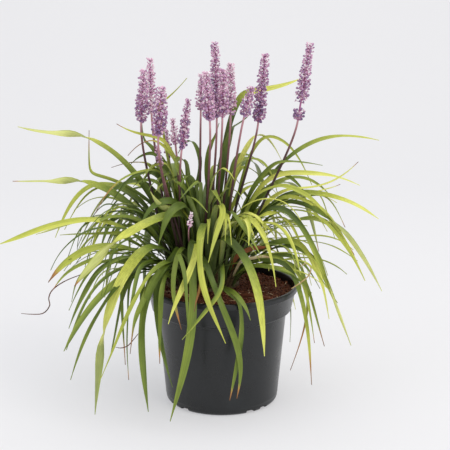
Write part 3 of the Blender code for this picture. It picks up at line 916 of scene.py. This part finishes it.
def back_leaves(count):
    """Leaves that hang over the back of the pot."""
    rng = random.Random(41)
    farthest = 182                       # mm behind the pot's axis
    made = []
    for index in range(count):
        out = polar(1.0, math.radians(25 + 130 * (index + rng.random()) / count))
        root = (CLUMP[0] + 34 * out[0], CLUMP[1] + 28 * out[1])
        reach, height = rng.uniform(46, 84), rng.uniform(186, 262)
        crest = (*beyond(root, reach, out), height)
        x, y = beyond(crest, rng.uniform(30, 62), out)
        tip = (x, min(y, farthest), height - rng.uniform(40, 150))
        plan = (root, crest, tip, rng.uniform(8, 12), rng.uniform(-20, 20), rng.choice((0.3, 0.42, 0.6, 0.8)),
                DRIED, 0.0)
        made.append(Leaf(f"back_leaf_{index + 1:02d}", plan))
    return made


leaves += thin_leaves(44) + back_leaves(18)
print(len(leaves), "leaves in all")


# %% Small differences between leaves
vary = random.Random(21)
for leaf in leaves:
    leaf.ripple(1.5 * MM if leaf.cad else 9 * MM)
    leaf.green = vary.uniform(0.05, 0.42)
    if not leaf.cad:
        leaf.width *= vary.uniform(0.7, 0.95) * (0.8 if abs(leaf.line[-1].x + 0.03) > 0.08 else 1.0)
        leaf.ripe += 0.12 if leaf.line[-1].x > 0.05 else 0.0
        leaf.sway(vary.uniform(-13, 13))
    leaf.shoulder = vary.uniform(0.45, 0.72)
outer = dict(enumerate(leaves[:len(BLADES)], 1))
between = dict(enumerate(leaves[len(BLADES):len(BLADES) + len(BETWEEN)], 1))
# outer leaves that are lime only far out
LATE_LIME = {1: 0.3, 2: 0.36, 6: 0.3, 8: 0.2, 10: 0.3, 12: 0.48, 14: 0.5, 15: 0.5, 16: 0.5, 17: 0.46,
             18: 0.5, 20: 0.5}
for number, green in LATE_LIME.items():
    outer[number].green = green
# outer leaves that stay broad nearly to the tip
for number in (1, 2, 3, 5, 6, 7, 8, 9, 10, 11, 12, 15, 16, 17, 18, 20):
    outer[number].shoulder = 0.72
# leaves that turn over: where, and how much greener they are beyond it
for leaf, half_turn, fade in (
        (outer[1], 0.74, 0.0), (outer[2], 0.72, 0.0), (outer[6], 0.74, 0.16), (outer[8], 0.78, 0.40),
        (outer[15], 0.8, 0.0), (outer[16], 0.66, 0.1), (between[2], 0.7, 0.1), (between[60], 0.6, 0.2)):
    leaf.half_turn, leaf.fade = half_turn, fade
# bows that the two curves of a plan do not give: size (mm), how near the tip, and down if it is a sag
DOWN = Vector((0, 0, -1))
for leaf, *bow in (
        (outer[3], 12, 1.7, DOWN), (outer[17], 10, 1.0, DOWN), (between[2], 9, 1.4, DOWN),
        (between[52], 7, 1.0, DOWN), (outer[8], -10, 1.3), (outer[9], -16), (outer[10], 17, 1.1),
        (outer[11], -4), (outer[11], 15, 2.4), (outer[12], 9), (outer[13], 9), (outer[14], 12),
        (outer[15], -16, 1.5), (between[40], -24), (between[18], -14), (between[44], -9),
        (between[46], 16, 1.2), (between[47], 25, 1.1), (between[48], -8), (between[65], 26, 1.5)):
    leaf.sway(*bow)
# widths in mm that differ from the plans, because a blade on edge looks narrower than it is
WIDTHS = {6: 12, 7: 10, 8: 12.5, 9: 10, 11: 7.5, 12: 10, 14: 6, 15: 7.2, 16: 6.2, 17: 7.2, 18: 6.2, 19: 5.5,
          20: 9.5}
for number, width in WIDTHS.items():
    outer[number].width = width
between[40].width = 10.5
print("widest leaf:", max(leaf.width for leaf in leaves), "mm")


# %% [markdown]
# ## Flower stalks
#
# Each stalk is a bare stem that leaves the crown steeply and ends in a raceme: an axis with whorls of small
# flowers on short pedicels. The stem is nearly black-purple where it comes out of the leaves and mauve
# where the flowers start. The stalks are planned before the leaves are combed, because the leaves give way
# to them.

# %% Stalk plans
# root, foot of the raceme, tip of the raceme (mm), thickness of the raceme, bareness of its foot, paleness
STALKS = [
    ((-64, 1), (-97, -10, 354), (-93, -10, 414), 16, 0.2, 0.42),
    ((-61, 17), (-86, 17, 361), (-87, 17, 426), 14, 0.1, 0.56),
    ((-48, -7), (-75, -34, 341), (-70, -36, 397), 18, 0.1, 0.40),
    ((-52, 1), (-48, -20, 322), (-40, -20, 380), 13, 0.2, 0.36),
    ((-47, 16), (-57, 18, 322), (-60, 20, 351), 11, 0.1, 0.66),
    ((-39, -11), (-73, -22, 301), (-77, -24, 324), 10, 0.2, 0.34),
    ((-44, 29), (-66, 36, 302), (-69, 38, 334), 11, 0.2, 0.40),
    ((-28, 28), (-26, 37, 362), (-25, 38, 404), 14, 0.1, 0.56),
    ((-18, 8), (-6, 6, 357), (-8, 6, 446), 16, 0.1, 0.34),
    ((-24, -7), (-14, -30, 358), (-18, -32, 414), 16, 0.1, 0.46),
    ((-10, -5), (1, -14, 360), (2, -14, 415), 16, 0.1, 0.50),
    ((-5, 21), (11, 23, 359), (11, 23, 419), 15, 0.1, 0.64),
    ((-4, 7), (45, 18, 350), (53, 20, 431), 16, 0.1, 0.36),
    ((0, -9), (27, -20, 362), (35, -22, 395), 15, 0.2, 0.38),
    ((10, -4), (92, -8, 356), (105, -10, 446), 16, 0.9, 0.34),
    ((-32, -14), (-39, -52, 232), (-36, -56, 250), 7, 0.4, 0.75),
]
STEM_FOOT, STEM_HEAD = 1.9 * MM, 1.25 * MM       # stem radii
DARK_STEMS = (0, 12, 14)         # these stay nearly black for most of their length


def stem_line(root, foot, tip, count=30):
    """The stem's midline, from inside the crown to the foot of the raceme."""
    start, foot, tip = on_crown(root), Vector(foot) * MM, Vector(tip) * MM
    rise = foot - start
    points = (start, start + Vector((0.28 * rise.x, 0.28 * rise.y, 0.38 * rise.z)),
              foot - (tip - foot).normalized() * (0.2 * rise.z), foot)
    return [bezier(*points, i / (count - 1)) for i in range(count)]


stem_lines = [stem_line(root, foot, tip) for root, foot, tip, *_ in STALKS]
print(len(stem_lines), "stalks")


# %% [markdown]
# ## Combing
#
# Leaves drawn one by one would pass through each other. Real ones rest against each other, so the clump is
# combed: where two blades are closer than their thickness they move apart along their faces, a blade gives
# way to a flower stem, and none may enter the pot's wall or the compost. The moves are then evened out
# along each leaf. A few rounds clear the crossings that show, and the thicket low down keeps some.

# %% Comb the leaves
FREE = 5                         # the first station that may move; the root stays where it is


def comb(rounds):
    """Move crossing blades apart and away from the flower stems."""
    gap, stem_gap, near, longest = 2.0 * MM, 7.5 * MM, 7.0 * MM, 2.5 * MM
    push, stem_push = 0.4, 0.7           # share of an overlap that one round takes away
    stems = kdtree.KDTree(sum(len(line) for line in stem_lines))
    for index, point in enumerate(p for line in stem_lines for p in line):
        stems.insert(point, index)
    stems.balance()
    for _ in range(rounds):
        tree = kdtree.KDTree(len(leaves) * STATIONS)
        for owner, leaf in enumerate(leaves):
            for station, point in enumerate(leaf.line):
                tree.insert(point, owner * STATIONS + station)
        tree.balance()
        for owner, leaf in enumerate(leaves):
            frames = leaf_frames(leaf)
            moves = [Vector() for _ in range(STATIONS)]
            for station in range(FREE, STATIONS):
                point = leaf.line[station]
                hold = min((station - FREE + 1) / 8, 1.0)
                for other, index, _ in tree.find_range(point, near):
                    if index // STATIONS == owner:
                        continue
                    up = frames[station][2]
                    apart = (point - other).dot(up)
                    if abs(apart) < gap:
                        side = 1.0 if apart > 0 or (apart == 0 and owner > index // STATIONS) else -1.0
                        moves[station] += up * (side * (gap - abs(apart)) * push * hold)
                for other, _, distance in stems.find_range(point, stem_gap):
                    away = Vector((point.x - other.x, point.y - other.y, 0.0))
                    moves[station] += away.normalized() * ((stem_gap - distance) * stem_push * hold)
            for station in range(FREE, STATIONS):
                nearby = moves[max(station - 2, 0):station + 3]
                step = sum(nearby, Vector()) / len(nearby)
                leaf.line[station] += step.normalized() * longest if step.length > longest else step
            keep_out(leaf)


def keep_out(leaf):
    """Hold a leaf above the compost and over or outside the pot's lip, then even it out."""
    lip_z, lip_r = POT_HEIGHT + 3 * MM, RIM + 3.5 * MM
    for point in leaf.line[FREE:]:
        radius = point.xy.length
        if radius < 88 * MM:
            point.z = max(point.z, soil_height(point.x, point.y) + 2.5 * MM)
        elif radius < lip_r and point.z < lip_z:
            if lip_z - point.z < lip_r - radius:
                point.z = lip_z
            else:
                point.xy *= lip_r / radius
    # where a leaf leaves the pot it goes over the lip, never through the wall
    for here, there in zip(leaf.line[FREE:-1], leaf.line[FREE + 1:]):
        if (here.xy.length - RIM) * (there.xy.length - RIM) < 0:
            here.z, there.z = max(here.z, lip_z), max(there.z, lip_z)
    line = leaf.line
    evened = [(a + b * 2 + c) / 4 for a, b, c in zip(line[FREE - 2:], line[FREE - 1:], line[FREE:])]
    leaf.line = line[:FREE - 1] + evened + line[-1:]


comb(6)
print("combed", len(leaves), "leaves")


# %% Leaf blades
SECTION = [-1.0, -0.7, -0.36, 0.0, 0.36, 0.7, 1.0]       # places across the upper side, in half widths


def half_width(leaf, t):
    """Half the blade's width: narrow at the root, strap-like, then a long point."""
    root = 0.5 + 0.5 * min(t / 0.28, 1.0)
    point = 1.0 - max((t - leaf.shoulder) / (1.0 - leaf.shoulder), 0.0) ** 2.2
    uneven = 1.0 + 0.1 * noise.noise(Vector((t * 4.0, leaf.seed * 0.47, 3.0)))
    return max(leaf.width * root * point * uneven, 0.9) * 0.5 * MM


def build_leaf(leaf):
    """Sweep the gutter section along the leaf and record what the material needs."""
    thick, gutter = 0.5 * MM, 0.42
    points = []
    marks = {"ripe": [], "across": [], "along": [], "dried": [], "under": []}
    loop = [(s, 0) for s in SECTION] + [(s, 1) for s in reversed(SECTION[1:-1])]
    # one half of the blade is lighter than the other: painted light and shade, as on the two halves of a
    # folded blade
    lit_half_shift = 0.36 * noise.noise(Vector((leaf.seed * 0.77, 2.0, 5.0)))
    for station, (_, across, up) in enumerate(leaf_frames(leaf)):
        t = station / (STATIONS - 1)
        half = half_width(leaf, t)
        wave = noise.noise(Vector((t * 9.0, leaf.seed * 0.61, 0.0)))
        turned_lime = min(max((t - leaf.green) / 0.5, 0.0), 1.0)
        ripe = 0.12 + (leaf.ripe - 0.12) * turned_lime * (2.0 - turned_lime) + 0.06 * wave
        if leaf.half_turn and t > leaf.half_turn:
            ripe -= leaf.fade
        for s, under in loop:
            lift = gutter * half * (abs(s) ** 1.2) * (1.0 - 0.4 * t) + 0.08 * half * wave * s
            lift -= under * thick * (1.0 - 0.5 * abs(s))
            points.append(leaf.line[station] + across * (half * s) + up * lift)
            # a blade dries from the tip and along its edges
            start = 1.0 - leaf.dried * (1.0 + 0.12 * abs(s) ** 3)
            dead = (t - start) / leaf.dried if leaf.dried > 0.045 else 0.0
            here = (ripe + lit_half_shift * s, s, t, min(max(dead, 0.0), 1.0), float(under))
            for values, value in zip(marks.values(), here):
                values.append(value)
    blade = new_piece(leaf.name, (points, closed_row(STATIONS, len(loop))), leaf_material, marks, 60)
    if leaf.cad:
        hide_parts(leaf.cad)


for leaf in leaves:
    build_leaf(leaf)
print("leaves:", len(leaves))


# %% [markdown]
# ## Crown
#
# Below the blades each leaf wraps its neighbours in a pale papery sheath, and old sheaths stay as brown
# fibre. What shows of the crown between the roots is a low mound of such bases, so it is a dome set with
# short sheaths.

# %% Crown of leaf bases
SHEATHS = 150


def make_sheath_material():
    """Dry papery sheath: matt, with brown and straw fibres that keep the mound from looking solid."""
    material, tree = new_material("dry_leaf_sheath")
    place = add_node(tree, "ShaderNodeNewGeometry", "Position")
    grain = add_node(tree, "ShaderNodeMapping", "Vector", {
        "Vector": place, "Scale": (every(1.11), every(1.11), every(16.7))})
    fibre = add_node(tree, "ShaderNodeTexNoise", "Fac", {"Vector": grain, "Scale": 1.0, "Detail": 3.0})
    tone = add_node(tree, "ShaderNodeValToRGB", "Color", {"Fac": fibre}, [
        (0.3, "#2a1d13"), (0.5, "#4d3a24"), (0.65, "#6f6136"), (0.8, "#a3935f")])
    bump = add_node(tree, "ShaderNodeBump", "Normal", {
        "Height": fibre, "Strength": 0.6, "Distance": 0.6 * MM})
    return shade(material, {"Base Color": tone, "Normal": bump, "Roughness": 0.7})


def crown_place(share, angle):
    """A place on the crown's outline, shrunk towards its middle."""
    return (CROWN_MIDDLE[0] + CROWN_REACH[0] * share * math.cos(angle),
            CROWN_MIDDLE[1] + CROWN_REACH[1] * share * math.sin(angle))


def make_crown():
    """A lumpy dome with a skirt down into the compost, set with sheaths."""
    rng = random.Random(3)
    rings, sides, skirt_z = 16, 72, 139.5 * MM
    dome = [Vector((*CROWN_MIDDLE, CROWN_TOP))]
    for ring in range(1, rings + 1):
        share = ring / rings
        for k in range(sides):
            x, y = crown_place(share, math.tau * k / sides)
            lump = noise.noise(Vector((x, y, 0)) * 160) * 1.6 * MM * (1 - share)
            dome.append(Vector((x, y, crown_height(x, y) + lump)))
    dome += [Vector((*crown_place(1, math.tau * k / sides), skirt_z)) for k in range(sides)]
    skirt = 1 + rings * sides
    parts = [(dome, dome_faces(rings + 1, sides) + [tuple(skirt + k for k in reversed(range(sides)))])]
    for _ in range(SHEATHS):
        angle, share = rng.uniform(0, math.tau), math.sqrt(rng.random())
        out = Vector((*polar(1.0, angle), 0.0))
        x, y = crown_place(0.96 * share, angle)
        foot = Vector((x, y, crown_height(x, y) - 2 * MM))
        length = rng.uniform(10, 26) * MM
        lean = (out * (0.5 * share) + Vector((0, 0, 1))).normalized()
        path = [foot + lean * (length * i / 4) + out * (length * 0.12 * (i / 4) ** 2) for i in range(5)]
        width = rng.uniform(2.2, 4.2) * MM
        parts.append(tube(path, [width * w for w in (0.9, 1.0, 0.85, 0.6, 0.2)], 8, 0.4, angle))
    crown = new_piece("crown_of_leaf_bases", joined(parts), make_sheath_material(), None, 60)
    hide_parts("crown")


make_crown()
print("crown:", SHEATHS, "sheaths")


# %% [markdown]
# ## Stems and racemes
#
# The stems are round and slightly rough. The raceme is built the way it grows: an axis, small groups of
# flowers all the way up it, each on a pedicel of about four millimetres that ends in an egg-shaped bud of
# three. Buds are violet at the tip and pinker at the foot; a few have opened into six small pale tepals.
# The youngest, at the top, are the smallest and palest.

# %% Stem and flower materials
def make_stem_material():
    """Smooth living skin with a low gloss, nearly black at the foot and mauve under the flowers."""
    material, tree = new_material("flower_stem")
    along = add_node(tree, "ShaderNodeAttribute", "Fac", attribute_name="along")
    place = add_node(tree, "ShaderNodeNewGeometry", "Position")
    cloud = add_node(tree, "ShaderNodeTexNoise", "Fac", {
        "Vector": place, "Scale": every(11.1), "Detail": 2.0})
    drift = add_node(tree, "ShaderNodeMapRange", "Result", {"Value": cloud, "To Min": -0.1, "To Max": 0.1})
    factor = add_node(tree, "ShaderNodeMath", "Value", {0: along, 1: drift}, operation="ADD")
    tone = add_node(tree, "ShaderNodeValToRGB", "Color", {"Fac": factor}, [
        (0.0, "#3a3a22"), (0.2, "#2f1d1d"), (0.5, "#4a2d2d"), (0.75, "#7c5254"), (0.9, "#ac7c82"),
        (1.0, "#c998a0")])
    return shade(material, {"Base Color": tone, "Roughness": 0.4, "IOR": 1.42})


def make_flower_material():
    """Soft petal with almost no shine: violet tips, pink flanks and a nearly white edge on open flowers."""
    material, tree = new_material("lilac_flower")
    tone, pink = (
        add_node(tree, "ShaderNodeAttribute", "Fac", attribute_name=name) for name in ("tone", "pink"))
    buds = add_node(tree, "ShaderNodeValToRGB", "Color", {"Fac": tone}, [
        (0.0, "#5e4870"), (0.28, "#927198"), (0.5, "#c497b8"), (0.72, "#e6bcd2"), (0.9, "#f6dce7"),
        (1.0, "#fdf4f8")])
    stalks = add_node(tree, "ShaderNodeValToRGB", "Color", {"Fac": tone}, [
        (0.0, "#8a4a74"), (0.5, "#b3709b"), (1.0, "#d6a3bf")])
    mixed = add_node(tree, "ShaderNodeMix", "Result", {"Factor": pink, "A": buds, "B": stalks},
                     data_type="RGBA")
    return shade(material, {"Base Color": mixed, "Roughness": 0.5, "IOR": 1.4})


stem_material, flower_material = make_stem_material(), make_flower_material()
print("stem and flower materials ready")


# %% Stems
def make_stems():
    """One tapering tube for each stalk; the stem of the stunted raceme is thinner."""
    for index, line in enumerate(stem_lines):
        count, sides = len(line), 10
        small = 0.55 if STALKS[index][3] < 8 else 1.0
        radii = [(STEM_FOOT + (STEM_HEAD - STEM_FOOT) * i / (count - 1)) * small for i in range(count)]
        slow = 1.9 if index in DARK_STEMS else 1.0
        along = [(i / (count - 1)) ** slow for i in range(count) for _ in range(sides)]
        shape = tube(line, radii, sides)
        stem = new_piece(f"stem_{index + 1:02d}", shape, stem_material, {"along": along}, 60)
        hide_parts(f"flower_stem_{index + 1:02d}")


make_stems()
print(len(stem_lines), "stems")


# %% Buds and open flowers
EGG = ((-0.5, 0.0), (-0.38, 0.55), (-0.05, 0.95), (0.25, 1.0), (0.44, 0.6), (0.5, 0.0))      # place, width


class Spray:
    """The parts and colour marks of one raceme as it grows."""

    def __init__(self):
        self.parts, self.tone, self.pink = [], [], []

    def add(self, part, tone, pink):
        """Add one (points, faces) with a tone for the whole of it or for each point."""
        self.parts.append(part)
        self.tone += tone if isinstance(tone, list) else [tone] * len(part[0])
        self.pink += [pink] * len(part[0])


def egg(centre, axis, length, width, sides=6, flat=1.0):
    """A closed egg along an axis, its blunt end outwards."""
    axis = axis.normalized()
    side = axis.orthogonal().normalized()
    front = axis.cross(side)
    points = []
    for place, wide in EGG:
        for k in range(sides if wide else 1):
            a, b = polar(width * 0.5 * wide, math.tau * k / sides)
            points.append(centre + axis * (length * place) + side * a + front * (b * flat))
    rings = len(EGG) - 2
    faces = fan(0, 1, sides, over=True)
    for ring in range(rings - 1):
        faces += band(1 + ring * sides, 1 + (ring + 1) * sides, sides)
    return points, faces + fan(len(points) - 1, 1 + (rings - 1) * sides, sides)


def add_bud(spray, centre, facing, size, base):
    """A bud whose tip is darker than its foot."""
    length, width, sides = 3.7 * MM * size, 3.3 * MM * size, 6
    shades = [base + 0.34] + [base + shift for shift in (0.26, 0.06, -0.1, -0.2) for _ in range(sides)]
    middle = centre + facing * (length * 0.4)
    spray.add(egg(middle, facing, length, width, sides), shades + [base - 0.24], 0.0)


def add_open_flower(spray, centre, facing, size, base):
    """Six pale tepals round a small yellow-white eye."""
    side = facing.orthogonal().normalized()
    front = facing.cross(side)
    petal, breadth, tepals = 2.6 * MM * size, 1.3 * MM * size, 6
    for k in range(tepals):
        a, b = polar(1.0, math.tau * k / tepals)
        lean = (side * a + front * b + facing * 0.55).normalized()
        spray.add(egg(centre + lean * (1.25 * MM * size), lean, petal, breadth, 4, 0.4), base + 0.3, 0.0)
    spray.add(egg(centre + facing * (0.7 * MM), facing, 1.4 * MM * size, 1.0 * MM * size, 4), 1.0, 0.0)


print("a bud has", len(egg(Vector(), Vector((0, 0, 1)), 1, 1)[1]), "faces")


# %% Racemes
WHORL_STEP = 2.7 * MM            # from one whorl of flowers to the next
AXIS_STEPS = 14


def raceme_radius(thickness, t):
    """Reach of the flowers from the axis."""
    foot = 0.72 + 0.28 * min(t / 0.12, 1.0)
    return thickness * 0.54 * MM * foot * (1.0 - 0.4 * max((t - 0.35) / 0.65, 0.0) ** 1.3)


def make_raceme(index):
    """An axis with whorls of pedicels, each with its bud or open flower."""
    _, foot, tip, thickness, bare, pale = STALKS[index]
    rng = random.Random(100 + index)
    foot, tip = Vector(foot) * MM, Vector(tip) * MM
    axis = tip - foot
    up = axis.normalized()
    side = up.orthogonal().normalized()
    front = up.cross(side)
    spray = Spray()
    shares = [i / AXIS_STEPS for i in range(AXIS_STEPS + 1)]
    radii = [(1.35 - 0.95 * share) * MM * min(thickness / 11, 1.0) for share in shares]
    spray.add(tube([foot + axis * share for share in shares], radii, 7), 0.45, 1.0)
    whorls = int(axis.length / WHORL_STEP)
    turn = 0.0
    for whorl in range(whorls + 1):
        t = whorl / whorls
        if bare > 0.5 and 0.14 < t < 0.22:
            continue                     # a bare length of axis above the lowest whorls
        flowers = max(int(thickness * 0.72 * (1.0 - 0.25 * t)), 5)
        turn += rng.uniform(0.4, 1.0)
        for k in range(flowers):
            if t < min(bare, 0.3) and rng.random() < 0.3:
                continue
            a, b = polar(1.0, turn + math.tau * (k + rng.uniform(-0.3, 0.3)) / flowers)
            out = side * a + front * b
            start = foot + axis * min(max(t + rng.uniform(-0.5, 0.5) / whorls, 0.0), 0.985)
            inner = 0.62 if k % 3 == 2 else 1.0
            reach = raceme_radius(thickness, t) * rng.uniform(0.78, 1.04) * inner
            size = (1.0 - 0.36 * t) * rng.uniform(0.85, 1.15) * min(0.7 + thickness / 50, 1.0)
            rising = up * (rng.uniform(0.2, 1.6) * MM + 1.2 * MM * t)
            end = start + out * max(reach - 2.6 * MM * size, 0.8 * MM) + rising
            pedicel = [start, start.lerp(end, 0.6) + out * (0.2 * MM), end]
            spray.add(tube(pedicel, [0.32 * MM] * 3, 4), 0.6, 1.0)
            facing = ((end - start).normalized() + up * 0.25).normalized()
            base = pale + 0.26 * t + rng.uniform(-0.2, 0.22)
            flower = add_open_flower if rng.random() < 0.14 + 0.2 * pale else add_bud
            flower(spray, end, facing, size, base)
    marks = {"tone": [min(max(v, 0.0), 1.0) for v in spray.tone], "pink": spray.pink}
    piece = new_piece(f"raceme_{index + 1:02d}", joined(spray.parts), flower_material, marks)
    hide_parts(f"flower_spike_{index + 1:02d}")
    return len(piece.data.polygons)


face_counts = [make_raceme(index) for index in range(len(STALKS))]
print("racemes:", sum(face_counts), "faces")


# %% [markdown]
# ## Dead leaves and dried tips
#
# Old leaves die from the tip: they turn rust red, then straw, and curl as they dry. A few lie on the
# compost and some hang from the clump as thin curls. They are swept like the stems, as flat tubes along
# free curves.

# %% Dead leaf material
def make_dead_material():
    """Dry, matt and crinkled: rust and straw in patches, with no sheen left."""
    material, tree = new_material("dead_leaf")
    tone = add_node(tree, "ShaderNodeAttribute", "Fac", attribute_name="tone")
    place = add_node(tree, "ShaderNodeNewGeometry", "Position")
    cloud = add_node(tree, "ShaderNodeTexNoise", "Fac", {
        "Vector": place, "Scale": every(6.25), "Detail": 3.0})
    drift = add_node(tree, "ShaderNodeMapRange", "Result", {"Value": cloud, "To Min": -0.2, "To Max": 0.2})
    factor = add_node(tree, "ShaderNodeMath", "Value", {0: tone, 1: drift}, operation="ADD")
    body = add_node(tree, "ShaderNodeValToRGB", "Color", {"Fac": factor}, [
        (0.0, "#3b2c22"), (0.25, "#6e3a22"), (0.5, "#9c5c34"), (0.75, "#b99863"), (1.0, "#d9caa0")])
    bump = add_node(tree, "ShaderNodeBump", "Normal", {
        "Height": cloud, "Strength": 0.4, "Distance": 0.6 * MM})
    return shade(material, {"Base Color": body, "Normal": bump, "Roughness": 0.75})


dead_material = make_dead_material()
print("dead leaf: matt, rust to straw")


# %% Dead leaves
# stops (mm), width, thickness, colour from brown 0 to straw 1
DEAD = [
    ([(8, -2, 156), (16, -8, 182), (30, -10, 194), (46, -10, 198), (62, -8, 197)], 6, 0.9, 0.42),
    ([(12, -6, 156), (24, -22, 184), (38, -30, 190), (52, -34, 193), (64, -36, 190)], 4, 0.9, 0.90),
    ([(20, -44, 147), (34, -54, 150), (50, -58, 149), (62, -58, 146)], 5, 0.9, 0.24),
    ([(-60, -40, 150), (-50, -56, 153), (-36, -62, 150)], 5, 0.8, 0.70),
    ([(-70, -46, 149), (-58, -66, 151), (-52, -74, 148)], 4, 0.8, 0.30),
    ([(-160, -66, 182), (-185, -70, 173), (-201, -70, 162), (-206, -72, 152), (-205, -74, 143),
      (-213, -76, 134), (-228, -76, 133), (-239, -76, 134)], 1.5, 0.8, 0.10),
    ([(-98, -98, 116), (-108, -100, 104), (-114, -100, 100), (-120, -100, 99), (-126, -102, 101)],
     1.3, 0.7, 0.15),
    ([(84, -60, 160), (94, -60, 167), (104, -60, 176), (107, -58, 185), (101, -56, 190), (94, -55, 186)],
     1.6, 0.8, 0.80),
]
DEAD_STATIONS, DEAD_SIDES = 26, 8


def smooth_path(stops):
    """Points of a curve through a few stops in millimetres."""
    stops = [Vector(stop) * MM for stop in stops]
    stops = [stops[0] * 2 - stops[1]] + stops + [stops[-1] * 2 - stops[-2]]
    made = []
    for i in range(DEAD_STATIONS):
        place = i / (DEAD_STATIONS - 1) * (len(stops) - 3)
        k = min(int(place), len(stops) - 4)
        t = place - k
        a, b, c, d = stops[k:k + 4]
        made.append((b * 2 + (c - a) * t + (a * 2 - b * 5 + c * 4 - d) * t ** 2
                     + (b * 3 - a - c * 3 + d) * t ** 3) * 0.5)
    return made


def make_dead_leaves():
    """A flat tube along each path, widest in its middle."""
    shares = [i / (DEAD_STATIONS - 1) for i in range(DEAD_STATIONS)]
    for index, (stops, width, thick, tone) in enumerate(DEAD):
        swell = [0.35 + 0.65 * math.sin(math.pi * (0.12 + 0.86 * share)) for share in shares]
        radii = [width * 0.5 * MM * wide for wide in swell]
        shape = tube(smooth_path(stops), radii, DEAD_SIDES, thick / width, 1.2)
        marks = {"tone": [tone] * len(shape[0])}
        dead = new_piece(f"dead_leaf_{index + 1:02d}", shape, dead_material, marks, 60)


make_dead_leaves()
print("dead leaves:", len(DEAD))
